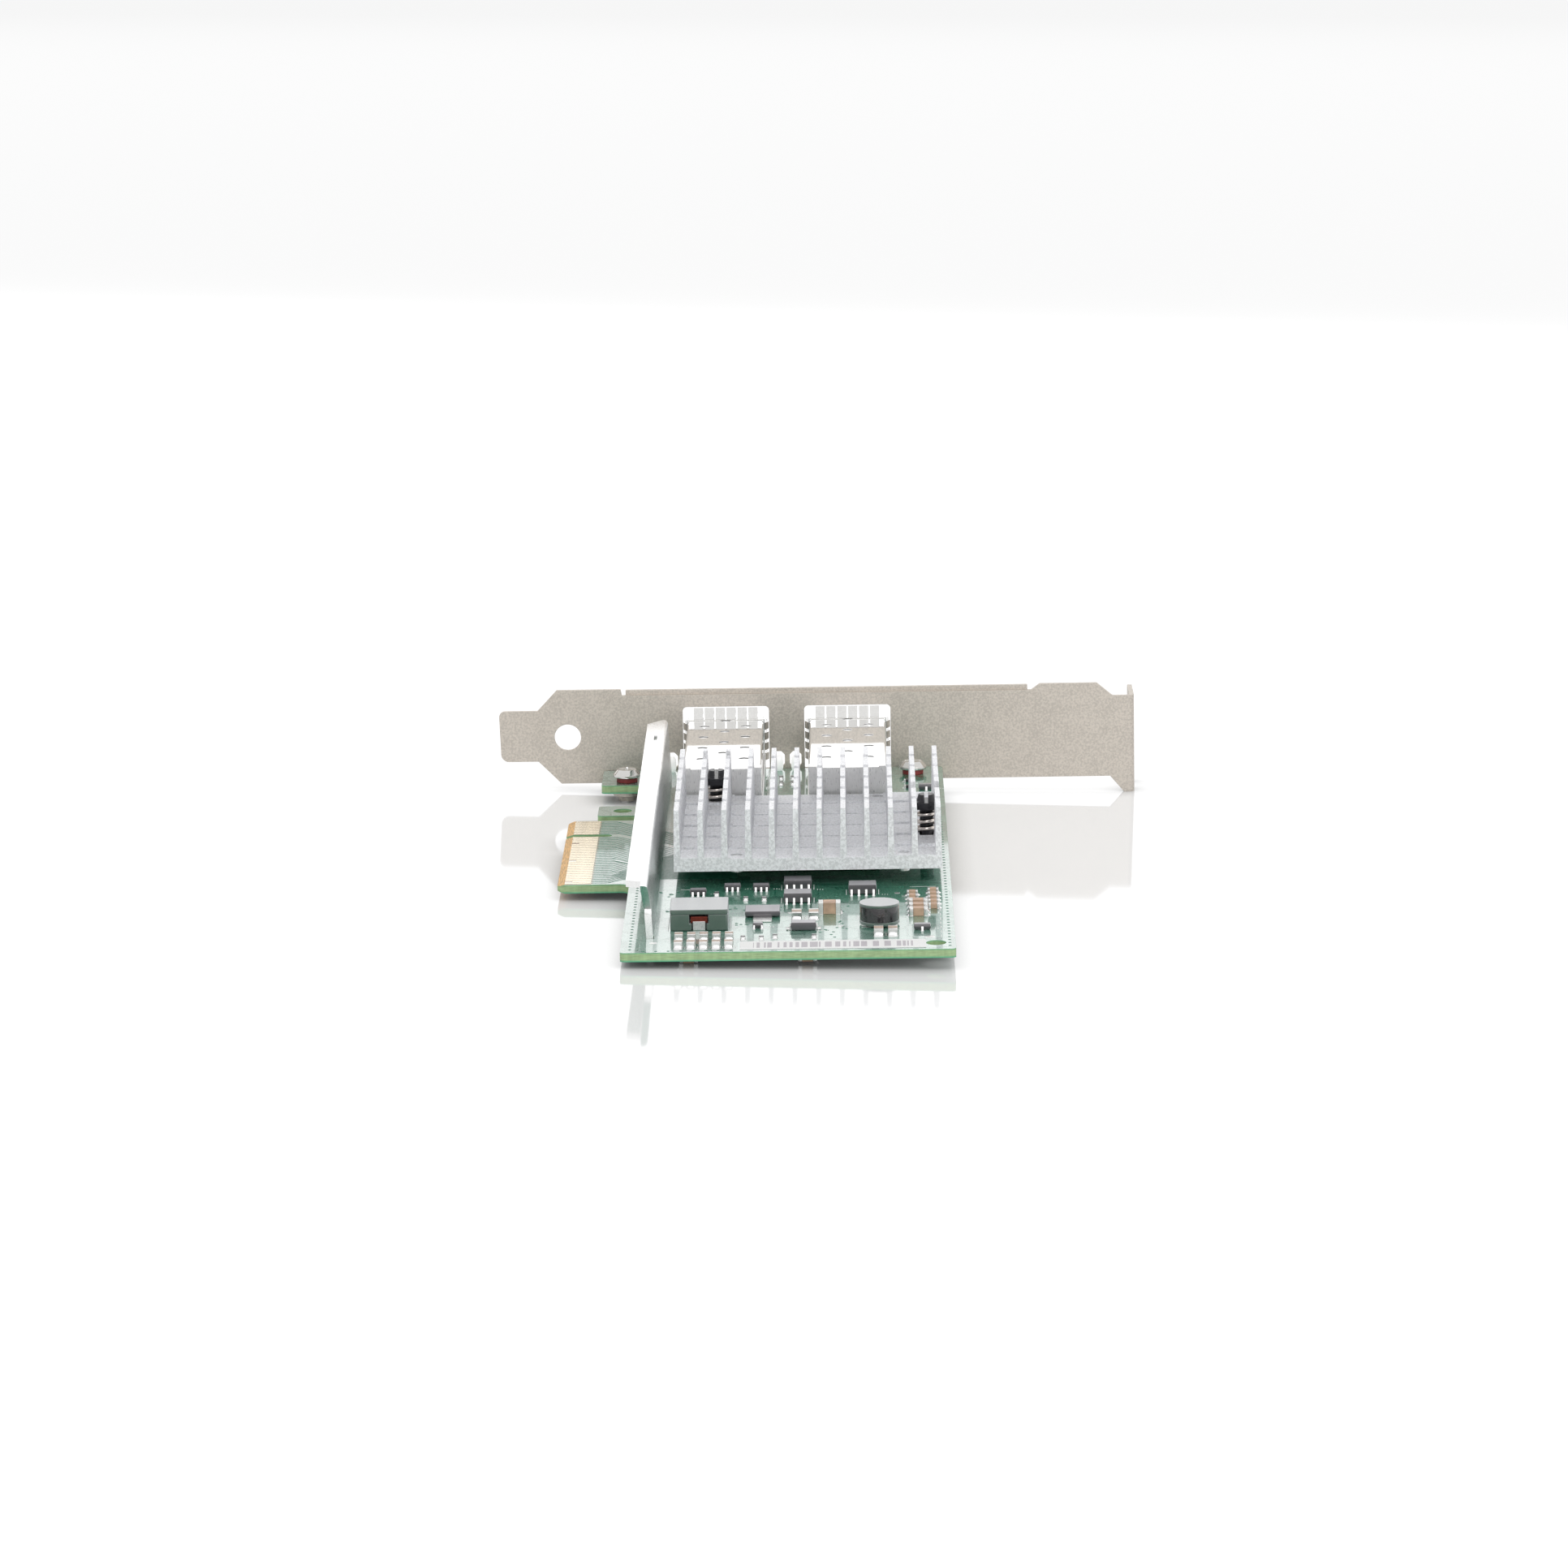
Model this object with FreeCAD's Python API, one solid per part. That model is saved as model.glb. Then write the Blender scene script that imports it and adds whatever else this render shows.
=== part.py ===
import FreeCAD, Part
import math
import os

# Dual-port network interface card: a printed circuit board with an edge connector, two small-form-factor
# pluggable cages, a cross-cut heatsink over the controller, a stiffener bar and a full-height bracket.
#
# Millimetres. The origin is the middle of the key notch, on the contact edge and at half the board's
# thickness. +X runs from the contact edge across the card, +Y along the card to the bracket, and +Z out
# of the component side.

V = FreeCAD.Vector

# ------------------------------------------------------------------ board
board_thick = 1.57
board_span = 68.9            # contact edge to the far long edge
board_length = 148.6         # bracket's inner face to the front edge
contact_depth = 12.6         # contact edge to the body's long edge
key_to_bracket = 57.15       # middle of the key notch to the bracket's inner face
key_width = 1.9
key_depth = 8.3
short_contact = 11.65        # edge segment on the bracket's side of the key
long_contact = 38.65         # edge segment on the other side
bevel_length = 1.3
bevel_depth = 0.36
corner_round = 0.8
bracket_gap = 0.35           # board's back edge to the bracket's inner face
back_ear = (13.9, 4.9)       # how far it runs from the bracket, and its left edge
hook_ear = (32.1, 40.5, 5.1)  # both ends, from the bracket, and its left edge
tooling_radius = 1.7
hook_hole = (9.6, 36.2)      # from the contact edge, and from the bracket
tooling_inset = (3.3, 4.55)  # front hole, from the far edge and the front edge

# ------------------------------------------------------------------ edge contacts
contact_pitch = 1.0
contact_pad = (4.6, 0.7)     # length and width
contact_plate = 0.06         # plated height over the laminate
short_count = 11
long_count = 38
key_to_contact = 1.5         # middle of the notch to the first contact on either side
presence_cut = 1.3           # how much shorter the presence contacts are

# ------------------------------------------------------------------ bracket
sheet = 0.86
bracket_length = 120.02
bracket_end = 14.75          # how far the tongue's tip lies beyond the contact edge
bracket_width = 17.96
tongue = (7.3, 4.3, 9.71)    # length, its lower edge above the plate's, and its width
tongue_hole = (12.93, 8.9, 2.5)  # from the tip, above the plate's lower edge, and radius
shoulder = 3.7               # run of the tongue's chamfers
lip_span = (23.3, 100.6)     # lowered stretch of the upper edge, from the tip
lip_drop = 1.16
lip_ramp = 1.6               # run of the edge back up, on the tab's side
lip_inset = (0.7, 0.7)       # relief at each end of the offset lip
lip_height = 2.1
tab_depth = 11.4
tab_width = 18.7
tab_drop = 3.2               # how far the tab reaches below the plate
tab_bend = 1.15
tab_slot = (6.35, 2.2, 5.1)  # from the inner face, radius, and depth from the tab's lower end
lower_step = (4.6, 0.85)     # where the lower edge drops to the tab, from its face, and the drop's slope
upper_step = (4.1, 1.2)      # the same for the upper edge
foot_width = 5.2
collar = (1.95, 1.55, 1.08)  # upper radius, lower radius and length of each tapped collar
bracket_screws = ((9.6, 10.3), (63.3, 6.4))  # from the contact edge, and from the bracket

# ------------------------------------------------------------------ screws and washers
screw_radius = 1.25
screw_clear = 0.05           # in the tapped collars
screw_hole = 1.5             # radius in the board
screw_head = (2.55, 1.45)    # radius and height
screw_recess = (0.45, 1.5, 0.8)  # cross recess: blade, span and depth
screw_proud = 0.2            # thread showing past the collar
washer = (1.95, 1.0)         # radius and height

# ------------------------------------------------------------------ ports
port_first = 28.15           # middle of the first cage, from the contact edge
port_pitch = 22.95
cage_sheet = 0.25
cage_width = 14.3            # outside
cage_height = 9.8            # top face over the board
cage_length = 47.0           # rear wall to the bracket's inner face
cage_nose = 1.6              # how far the cage stands out of the bracket
cage_seat = 0.25             # floor plate over the board
cage_skirt = 3.4             # height of the base's outer flanges
vent_radius = 1.0
vent_sides = 8
vent_middle = (2.7, 9.85, 4)  # first vent from the bracket, pitch and number
vent_side = (7.8, 9.9, 4, 3.9)  # the same, and distance from the middle
cage_legs = 4
cage_leg = (0.6, 2.4)        # width and length below the floor plate
leg_inset = (4.0, 6.0)       # first leg from the rear wall, and last leg from the springs
leg_hole = (0.5, 6)          # radius and sides
fold_gap = 0.03              # between one folded sheet and the next
lid_gap = 0.02               # under the hooks and the spring collars, and under the skirts
edge_gap = 0.05              # inside the cover: floor plate and rear wall
cover_bend = (0.45, 0.2)     # outer and inner radius of the cover's long corners
skirt_back = 2.0             # rear end of the skirts, from the rear wall
skirt_tie = (14.0, 9.0, 3, 3.0)  # first tie under the cover's edge, pitch, number and width
tie_lap = 0.3                # how far the ties reach under the floor plate
rear_gap = 0.5               # daylight under the rear wall
rear_hook = (1.5, 2.4, 1.1)  # tabs folded over the rear wall: width, reach on top, and length down
latch = (9.0, 2.2, 6.0, 0.4)  # tongue: from the cage's mouth, half width, length, and the slit round it
latch_hole = (1.3, 2.0, 4.6)  # half width, and both ends from the tongue's root
port_fit = 0.1               # cage springs to the bracket's cut-out
collar_bulge = 0.9           # springs beyond the cage's sides
top_bulge = 2.1              # springs above the cage's top
spring_sheet = 0.15
spring_band = 0.6
spring_reach = 2.5           # rear of the band to the bracket's inner face
spring_crest = 0.45          # highest line of the fingers, behind the bracket's inner face
spring_nose = (0.1, 0.3)     # fingers' tips: inside the cage's mouth, and over its sides
top_fingers = (6, 2.06, 1.7)  # number, pitch and width
side_fingers = (4, 1.95, 1.35)
side_finger_low = 2.6        # lowest side finger's middle over the board
collar_foot = 1.2            # band below that line
spring_clear = 0.3           # skirts' front end to the band
socket = (12.2, 9.0, 5.8)    # host connector: width, depth and height
socket_back = 1.2            # behind it, to the cage's rear wall
socket_slot = (9.4, 1.3, 6.2, 2.9)  # mouth's width, height and depth, and its lower face over the board
socket_step = (2.2, 1.6)     # lower shelf at the back: depth, and how far below the top
socket_relief = (1.0, 2.0)   # open foot at the back: depth and height
floor_start = 0.6            # floor plate in front of the socket, and blades inside its mouth
socket_pins = 10
socket_pitch = 0.8
socket_blade = (0.3, 0.25)   # contacts' width and thickness
blade_channel = (0.4, 0.5, 0.05)  # groove of each contact: width, depth, and its floor under the contact

# ------------------------------------------------------------------ indicators
led_size = (2.4, 2.9)        # depth and height
led_share = (0.248, 0.46)    # width, and spacing of a pair, over the gap between the ports
led_back = 0.9               # from the board's back edge
led_lens = (0.7, 0.75)       # half width and reach
led_rise = 1.7               # middle of each window over the board
led_clear = 2.25             # first indicator's middle, from the springs of the first port
led_window_fit = 0.25        # round each indicator
led_window_tall = 3.1
led_window_cut = 0.3         # corners' chamfer, over the window's width
led_lens_edge = 0.7          # rounding of the lens, over its half width

# ------------------------------------------------------------------ controller and heatsink
sink_span = (20.6, 67.35)    # from the contact edge
sink_back = 48.4             # from the bracket
sink_length = 52.6
sink_base = 2.15
fin_count = 12
fin_height = 8.8
fin_thick = (1.15, 0.85)     # at the root and at the top
fin_rows = 6
saw_cut = (2.05, 0.16)       # width, and depth into the floor between the fins
outer_floor = (9.9, 0.25)    # width and height of the thicker floor along both sides
ball_height = 0.4
ball_grid = (7, 3.4, 0.3)    # balls along a side, pitch and radius
substrate = (25.0, 0.8)
die_cover = (21.0, 1.5)
thermal_pad = 0.3
push_pins = ((27.3, 52.9, 3.1), (64.9, 82.0, 4.35))  # from the contact edge and bracket, and spring's height
pin_radius = 1.2
pin_hole = 1.35
pin_clear = 0.3              # round each pin in the heatsink
pin_cap = (2.5, 1.3)
pin_crown = (1.7, 1.2)
pin_barb = (1.75, 1.7)
barb_land = 0.25
pin_slot = 0.7
pin_pocket = 3.2             # fins cleared round each pin
coil_radius = 1.85
coil_wire = 0.6
coil_turns = 3.25
coil_runs = 12               # flat-sided runs in a turn
coil_fit = 0.02
sink_studs = ((31.5, 97.5), (60.7, 98.2), (56.5, 50.3))
stud = (1.05, 0.85, 0.2)     # hole's radius, length below the base and recess above it
stud_fit = 0.04
bore_sides = 12              # the studs and the bores through the base are twelve-sided

# ------------------------------------------------------------------ stiffener bar
bar_sheet = 1.15
bar_top = (13.65, 17.35)     # top flange, from the contact edge
bar_foot = 17.95             # outer face of the web at the board
bar_height = 11.0
bar_bend = 0.7               # outer radius between flange and web
bar_back = 7.0               # from the bracket
bar_front = 2.0              # from the board's front edge
bar_lugs = 3
bar_lug = (2.0, 2.2, 0.3)    # width, length below the board's upper face, and lap on the web
lug_fit = 0.1
bar_leg = (8.1, 5.2)         # front leg: behind the flange's corner, and height of its straight part
bar_notch = (1.6, 1.0)       # in the leg's front, just under its top: depth and height
flange_ends = (3.7, 1.3, 3.7)  # flange short of the web in front and its slant, and its slant behind
flange_slot = (0.6, 4.5, 14.0, 1.85)  # width, length, from the rear end, and from the free edge

# ------------------------------------------------------------------ small parts
chip_end = 0.22              # share of a chip's length under each metal end
lead_sheet = 0.2
package_rise = 0.1           # moulded packages over the board
package_draft = 0.12
port_side_clear = 4.05       # chips beyond the second port, from its side
beside_clear = 7.35          # transistor beyond them, from the port's side
beside_back = 21.0           # and from the bracket
diode_size = (4.3, 2.6, 1.4)
diode_place = (43.3, 15.7)   # this and the places below: from the contact edge and the front edge
diode_lead = (1.5, 0.25, 0.85, 0.8)  # width, thickness, height at the body, and foot
power_switch_size = (6.0, 5.1, 1.1)
power_switch_place = (36.25, 27.1)
switch_pad = (3.2, 3.4, 0.25)  # front pad: width, reach and thickness
switch_land = (0.5, 1.27, 4)  # rear lands: width, pitch and number
switch_lap = (0.5, 0.8, 0.3)  # pad behind the middle, lands under the body, and lands behind it
switch_draft = 0.08
label_size = (31.2, 5.9, 0.1)
label_place = (32.7, 1.1)

# ------------------------------------------------------------------ inductors
inductor_size = (9.8, 9.6, 3.66)
inductor_place = (25.6, 20.25)
inductor_plate = 0.85        # upper core plate
inductor_window = (3.3, 1.25)  # width of the winding's channel, and its floor over the board
inductor_lead = 2.1
inductor_corner = 0.4
inductor_gap = 0.05          # under the core and under the winding
inductor_split = 0.02        # between the core and its plate
inductor_slot = (0.5, 0.9, 0.1)  # end slots: wider than the lead by, depth, and over the channel's floor
strap_end = (0.35, 0.2, 0.75, 0.3)  # strap inside the faces, leg's outer and inner face, and its lap
strap_thick = 1.1
strap_side = 0.2             # between the strap and the channel's sides
drum_place = (56.2, 18.6)
drum_radius = 3.4
drum_height = 3.9
drum_flange = (0.6, 0.45)    # lower and upper
drum_waist = 1.9
drum_rise = 0.3              # on its terminals
drum_coat = (0.35, 0.04, 60.0)  # resin: thickness, inside the flanges' rim, and degrees left open
winding_sides = 16
drum_gap = (0.05, 0.02, 0.01)  # winding to its neighbours across and upright, and resin to the flanges
drum_terminal = (1.8, 3.0, 2.2)  # width, depth, and from the middle

# ------------------------------------------------------------------ derived places
TOP = board_thick / 2
UNDER = -board_thick / 2
FACE = key_to_bracket                        # bracket's inner face
FRONT = FACE - board_length                  # board's front edge
SINK_FLOOR = TOP + ball_height + substrate[1] + die_cover[1] + thermal_pad
SINK_TOP = SINK_FLOOR + sink_base
SINK_Y = (FACE - sink_back - sink_length, FACE - sink_back)
SPRING_SEAT = SINK_TOP + outer_floor[1]      # thicker floor that the pins' springs stand on
PLATE_LOW = UNDER - sheet                    # bracket's lower edge, level with its feet
PORTS = (port_first, port_first + port_pitch)
CAGE_TOP = TOP + cage_height
CAGE_Y = (FACE - cage_length, FACE + sheet + cage_nose)
CAGE_HALF = cage_width / 2
FLOOR_TOP = TOP + cage_seat + cage_sheet


# ------------------------------------------------------------------ helpers
def in_xy(u, v, w):
    return V(u, v, w)


def in_xz(u, v, w):
    return V(u, w, v)


def in_yz(u, v, w):
    return V(w, u, v)


def prism(plane, corners, low, high):
    """Solid between low and high over a closed outline of (u, v) or (u, v, radius) corners."""
    points = [V(corner[0], corner[1], 0) for corner in corners]
    radii = [corner[2] if len(corner) > 2 else 0 for corner in corners]
    starts, middles, ends = [], [], []
    for index, point in enumerate(points):
        back = (points[index - 1] - point).normalize()
        ahead = (points[(index + 1) % len(points)] - point).normalize()
        half = math.acos(max(-1.0, min(1.0, back.dot(ahead)))) / 2
        run = radii[index] / math.tan(half)
        starts.append(point + back * run)
        ends.append(point + ahead * run)
        reach = radii[index] / math.sin(half) - radii[index]
        bisector = back + ahead
        middles.append(point + bisector.normalize() * reach if radii[index] else point)

    def place(vector):
        return plane(vector.x, vector.y, low)

    edges = []
    for index in range(len(points)):
        if radii[index]:
            edges.append(Part.Arc(place(starts[index]), place(middles[index]), place(ends[index])).toShape())
        after = (index + 1) % len(points)
        if (starts[after] - ends[index]).Length > 1e-6:
            edges.append(Part.makeLine(place(ends[index]), place(starts[after])))
    face = Part.Face(Part.Wire(edges))
    return face.extrude(plane(0, 0, high) - plane(0, 0, low))


def block(x, y, z):
    """Box between the low and high ends given for each axis."""
    return Part.makeBox(x[1] - x[0], y[1] - y[0], z[1] - z[0], V(x[0], y[0], z[0]))


def around(middle, size):
    return (middle - size / 2, middle + size / 2)


def disc(x, y, radius, low, high):
    return Part.makeCylinder(radius, high - low, V(x, y, low))


def nearly_half(width):
    """Corner radius that rounds a whole end and still leaves a straight edge there."""
    return width / 2 - 0.01


def post(sides, x, y, radius, low, high):
    """Upright post with a regular outline."""
    turns = [2 * math.pi * k / sides for k in range(sides)]
    corners = [(x + radius * math.cos(turn), y + radius * math.sin(turn)) for turn in turns]
    return prism(in_xy, corners, low, high)


def turned(x, y, outline):
    """Solid of revolution about a vertical axis, from (radius, height) points."""
    points = [V(x + radius, y, height) for radius, height in outline]
    wire = Part.makePolygon(points + points[:1])
    return Part.Face(wire).revolve(V(x, y, 0), V(0, 0, 1), 360)


def tapered(x, y, z, inset):
    """Moulded body: widest at its parting line, and drawn in by inset at its top and bottom."""
    sections = []
    for height, shrink in ((z[0], inset), ((z[0] + z[1]) / 2, 0), (z[1], inset)):
        left, right = x[0] + shrink, x[1] - shrink
        near, far = y[0] + shrink, y[1] - shrink
        corners = [V(left, near, height), V(right, near, height), V(right, far, height), V(left, far, height)]
        sections.append(Part.makePolygon(corners + corners[:1]))
    return Part.makeLoft(sections, True, True)


def joined(shapes):
    return shapes[0].multiFuse(shapes[1:]).removeSplitter()


def steps(start, pitch, count):
    return [start + pitch * index for index in range(count)]


def save(name, shapes):
    """One STEP file for a node: a single solid, or a group of separate solids."""
    solids = [solid for shape in shapes for solid in shape.Solids]
    bad = [solid for solid in solids if not solid.isValid() or solid.Volume <= 0]
    if bad or not solids:
        raise ValueError(name + " has a bad solid")
    whole = solids[0] if len(solids) == 1 else Part.makeCompound(solids)
    whole.exportStep("parts/" + name + ".step")
    print(name, len(solids), round(sum(solid.Volume for solid in solids), 3))


# ------------------------------------------------------------------ places that pieces share
def screw_places():
    return [(x, FACE - inward) for x, inward in bracket_screws]


def pin_places():
    return [(x, FACE - inward) for x, inward, height in push_pins]


def leg_rows():
    """Y of each cage leg, evenly spaced along the part of the cage that stands on the board."""
    first = CAGE_Y[0] + leg_inset[0]
    last = FACE - spring_reach - leg_inset[1]
    return steps(first, (last - first) / (cage_legs - 1), cage_legs)


def leg_offset():
    return CAGE_HALF + cage_sheet / 2 + fold_gap


def bar_span():
    return (FRONT + bar_front, FACE - bar_back)


def lug_rows():
    """Y of each lug: one under the front leg, and the rest evenly along the web."""
    near, far = bar_span()
    inset = bar_leg[0] + bar_lug[0] / 2
    return steps(near + inset, (far - near - 2 * inset) / (bar_lugs - 1), bar_lugs)


def contact_rows():
    """Y of every edge contact, those beside the bracket first."""
    short = steps(key_to_contact, contact_pitch, short_count)
    long = steps(-key_to_contact, -contact_pitch, long_count)
    return short, long


# ------------------------------------------------------------------ board
def circuit_board():
    """FR-4 board: L-shaped ears beside the bracket, a keyed and bevelled contact tab, and its holes."""
    far = board_span
    body = contact_depth
    tab_back = key_width / 2 + short_contact
    tab_front = -key_width / 2 - long_contact
    ear_front = FACE - back_ear[0]
    hook_back, hook_front = FACE - hook_ear[0], FACE - hook_ear[1]
    soft = corner_round
    outline = [
        (far, FRONT, soft), (far, FACE - bracket_gap, soft),
        (back_ear[1], FACE - bracket_gap, soft), (back_ear[1], ear_front, soft),
        (body, ear_front, soft), (body, hook_back, soft),
        (hook_ear[2], hook_back, soft), (hook_ear[2], hook_front, soft),
        (body, hook_front, soft), (body, tab_back, soft),
        (0, tab_back, bevel_length), (0, key_width / 2, 0.3),
        (key_depth, key_width / 2, nearly_half(key_width)),
        (key_depth, -key_width / 2, nearly_half(key_width)),
        (0, -key_width / 2, 0.3), (0, tab_front, bevel_length),
        (body, tab_front, 2 * soft), (body, FRONT, soft),
    ]
    board = prism(in_xy, outline, UNDER, TOP)
    cuts = []
    for side in (1, -1):
        edge = side * board_thick / 2
        deep = edge - side * bevel_depth
        wedge = [(-1, deep), (0, deep), (bevel_length, edge), (-1, edge)]
        cuts.append(prism(in_xz, wedge, tab_front - 1, tab_back + 1))
    for x, y in screw_places():
        cuts.append(disc(x, y, screw_hole, UNDER - 1, TOP + 1))
    for x, y in pin_places():
        cuts.append(disc(x, y, pin_hole, UNDER - 1, TOP + 1))
    for x, y in ((hook_hole[0], FACE - hook_hole[1]), (far - tooling_inset[0], FRONT + tooling_inset[1])):
        cuts.append(disc(x, y, tooling_radius, UNDER - 1, TOP + 1))
    for port in PORTS:
        for side in (1, -1):
            for y in leg_rows():
                cuts.append(post(leg_hole[1], port + side * leg_offset(), y, leg_hole[0], UNDER - 1, TOP + 1))
    for y in lug_rows():
        slot_x = (bar_foot - bar_sheet - lug_fit, bar_foot + lug_fit)
        cuts.append(block(slot_x, around(y, bar_lug[0] + 2 * lug_fit), (UNDER - 1, TOP + 1)))
    return [board.cut(cuts)]


def edge_contacts():
    """Gold-plated fingers on both faces; the presence fingers stop short of the bevel."""
    short, long = contact_rows()
    presence = {1: [long[5], long[19], long[36]], -1: [short[-1]]}
    pads = []
    for side in (1, -1):
        for y in short + long:
            start = bevel_length + (presence_cut if y in presence[side] else 0)
            low, high = sorted((side * TOP, side * (TOP + contact_plate)))
            pads.append(block((start, bevel_length + contact_pad[0]), around(y, contact_pad[1]), (low, high)))
    return pads


# ------------------------------------------------------------------ bracket and its fasteners
def bracket():
    """Folded sheet: tongue, port plate with an offset lip, bent tab, and two feet with tapped collars."""
    tip = -bracket_end
    low, high = PLATE_LOW, PLATE_LOW + bracket_width
    end = tip + bracket_length
    tab_low = low - tab_drop
    tab_high = tab_low + tab_width
    tongue_low = low + tongue[1]
    tongue_high = tongue_low + tongue[2]
    lip_low, lip_high = tip + lip_span[0], tip + lip_span[1]
    lowered = high - lip_drop
    outline = [
        (tip + 0.3, tongue_low, 1.5), (tip + tongue[0], tongue_low),
        (tip + tongue[0] + tongue[1], low), (end - lower_step[0], low),
        (end - lower_step[0] + tab_drop * lower_step[1], tab_low),
        (end, tab_low), (end, tab_high), (end - upper_step[0], tab_high, 0.8),
        (end - upper_step[0] - (high - tab_high) * upper_step[1], high),
        (lip_high + lip_ramp, high), (lip_high, lowered), (lip_low, lowered), (lip_low - 0.2, high),
        (tip + tongue[0] + shoulder, high), (tip + tongue[0], tongue_high), (tip, tongue_high, 1.1),
    ]
    plate = prism(in_xz, outline, FACE, FACE + sheet)
    lip_x = (lip_low + lip_inset[0], lip_high - lip_inset[1])
    lip_top = lowered + lip_drop * 0.75
    lip = block(lip_x, (FACE + sheet, FACE + 2 * sheet), (lip_top - lip_height, lip_top))
    tab_face = [
        (FACE, tab_low), (FACE + tab_depth, tab_low, 1.0),
        (FACE + tab_depth, tab_high, 1.0), (FACE, tab_high),
    ]
    tab = prism(in_yz, tab_face, end - sheet, end)
    feet = []
    for x, y in screw_places():
        half, soft = foot_width / 2, nearly_half(foot_width)
        shape = [(x - half, FACE + sheet), (x - half, y - half, soft), (x + half, y - half, soft)]
        feet.append(prism(in_xy, shape + [(x + half, FACE + sheet)], UNDER - sheet, UNDER))
        feet.append(Part.makeCone(collar[1], collar[0], collar[2], V(x, y, UNDER - sheet - collar[2])))
    body = joined([plate, lip, tab] + feet)
    outer_bend = [edge for edge in body.Edges if is_bend(edge, end, FACE)]
    body = body.makeFillet(tab_bend, outer_bend)
    hole = V(tip + tongue_hole[0], FACE - sheet, low + tongue_hole[1])
    cuts = [Part.makeCylinder(tongue_hole[2], 4 * sheet, hole, V(0, 1, 0))]
    for x, y in screw_places():
        cuts.append(disc(x, y, screw_radius + screw_clear, UNDER - sheet - collar[2] - 1, UNDER + 1))
    for port in PORTS:
        cuts.append(port_window(port))
    for x in led_places():
        cuts.append(led_window(x))
    slot_z = tab_low + tab_slot[2] - tab_slot[1]
    slot_y = FACE + tab_slot[0]
    cuts.append(Part.makeCylinder(tab_slot[1], 4 * sheet, V(end - 2 * sheet, slot_y, slot_z), V(1, 0, 0)))
    cuts.append(block((end - 2 * sheet, end + sheet), around(slot_y, 2 * tab_slot[1]), (tab_low - 1, slot_z)))
    return [body.cut(cuts)]


def is_bend(edge, x, y):
    """True for the upright edges of the corner at x, y."""
    if len(edge.Vertexes) != 2:
        return False
    first, last = (vertex.Point for vertex in edge.Vertexes)
    upright = abs(first.x - last.x) < 1e-6 and abs(first.y - last.y) < 1e-6
    return upright and abs(first.x - x) < 1e-6 and abs(first.y - y) < 1e-6


def port_window(port):
    half = CAGE_HALF + collar_bulge + port_fit
    top = CAGE_TOP + top_bulge + port_fit
    corners = [(port - half, TOP), (port + half, TOP), (port + half, top, 0.8), (port - half, top, 0.8)]
    return prism(in_xz, corners, FACE - 1, FACE + 3 * sheet)


def port_gap():
    """Width left between the springs of the two ports."""
    return port_pitch - cage_width - 2 * collar_bulge


def led_width():
    return led_share[0] * port_gap()


def led_places():
    """X of the indicators: one outside the first port and a pair between the ports."""
    outer = PORTS[0] - CAGE_HALF - collar_bulge - led_clear
    middle = sum(PORTS) / 2
    apart = led_share[1] * port_gap()
    return [outer, middle - apart / 2, middle + apart / 2]


def led_window(x):
    wide = led_width() + 2 * led_window_fit
    low, high = around(TOP + led_rise, led_window_tall)
    left, right = around(x, wide)
    cut = led_window_cut * wide
    corners = [(left, low + cut), (left + cut, low), (right - cut, low), (right, low + cut),
               (right, high - cut), (right - cut, high), (left + cut, high), (left, high - cut)]
    return prism(in_xz, corners, FACE - 1, FACE + 3 * sheet)


def bracket_screw_set():
    """Pan-head screws down through washer, board and foot into the tapped collars."""
    screws = []
    seat = TOP + washer[1]
    tip = UNDER - sheet - collar[2] - screw_proud
    radius, height = screw_head
    for x, y in screw_places():
        outline = [(0, tip), (screw_radius, tip), (screw_radius, seat), (radius, seat),
                   (radius, seat + 0.35 * height), (0.7 * radius, seat + height), (0, seat + height)]
        screw = turned(x, y, outline)
        blade, span, depth = screw_recess
        floor = seat + height - depth
        recess = [block(around(x, blade), around(y, span * 2), (floor, seat + height + 1)),
                  block(around(x, span * 2), around(y, blade), (floor, seat + height + 1))]
        screws.append(screw.cut(recess))
    return screws


def screw_washers():
    """Fibre washers between the screw heads and the board."""
    rings = []
    for x, y in screw_places():
        ring = disc(x, y, washer[0], TOP, TOP + washer[1])
        rings.append(ring.cut(disc(x, y, screw_radius + 2 * screw_clear, TOP - 1, TOP + washer[1] + 1)))
    return rings


# ------------------------------------------------------------------ ports
def cage_cover(port):
    """Top and sides of a cage, folded from thin sheet, with three columns of round vents."""
    low = TOP + cage_seat
    near, far = CAGE_Y[0] + cage_sheet + edge_gap, CAGE_Y[1]
    left, right = port - CAGE_HALF, port + CAGE_HALF
    soft_outer, soft_inner = cover_bend
    outer = [(left, low), (right, low), (right, CAGE_TOP, soft_outer), (left, CAGE_TOP, soft_outer)]
    left, right = left + cage_sheet, right - cage_sheet
    ceiling = CAGE_TOP - cage_sheet
    inner = [(left, low - 1), (right, low - 1), (right, ceiling, soft_inner), (left, ceiling, soft_inner)]
    cuts = [prism(in_xz, inner, near - 1, far + 1)]
    first, pitch, count = vent_middle
    places = [(port, FACE - inward) for inward in steps(first, pitch, count)]
    first, pitch, count, aside = vent_side
    for inward in steps(first, pitch, count):
        places += [(port - aside, FACE - inward), (port + aside, FACE - inward)]
    cuts += [post(vent_sides, x, y, vent_radius, ceiling - 0.1, CAGE_TOP + 0.1) for x, y in places]
    return [prism(in_xz, outer, near, far).cut(cuts)]


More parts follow.
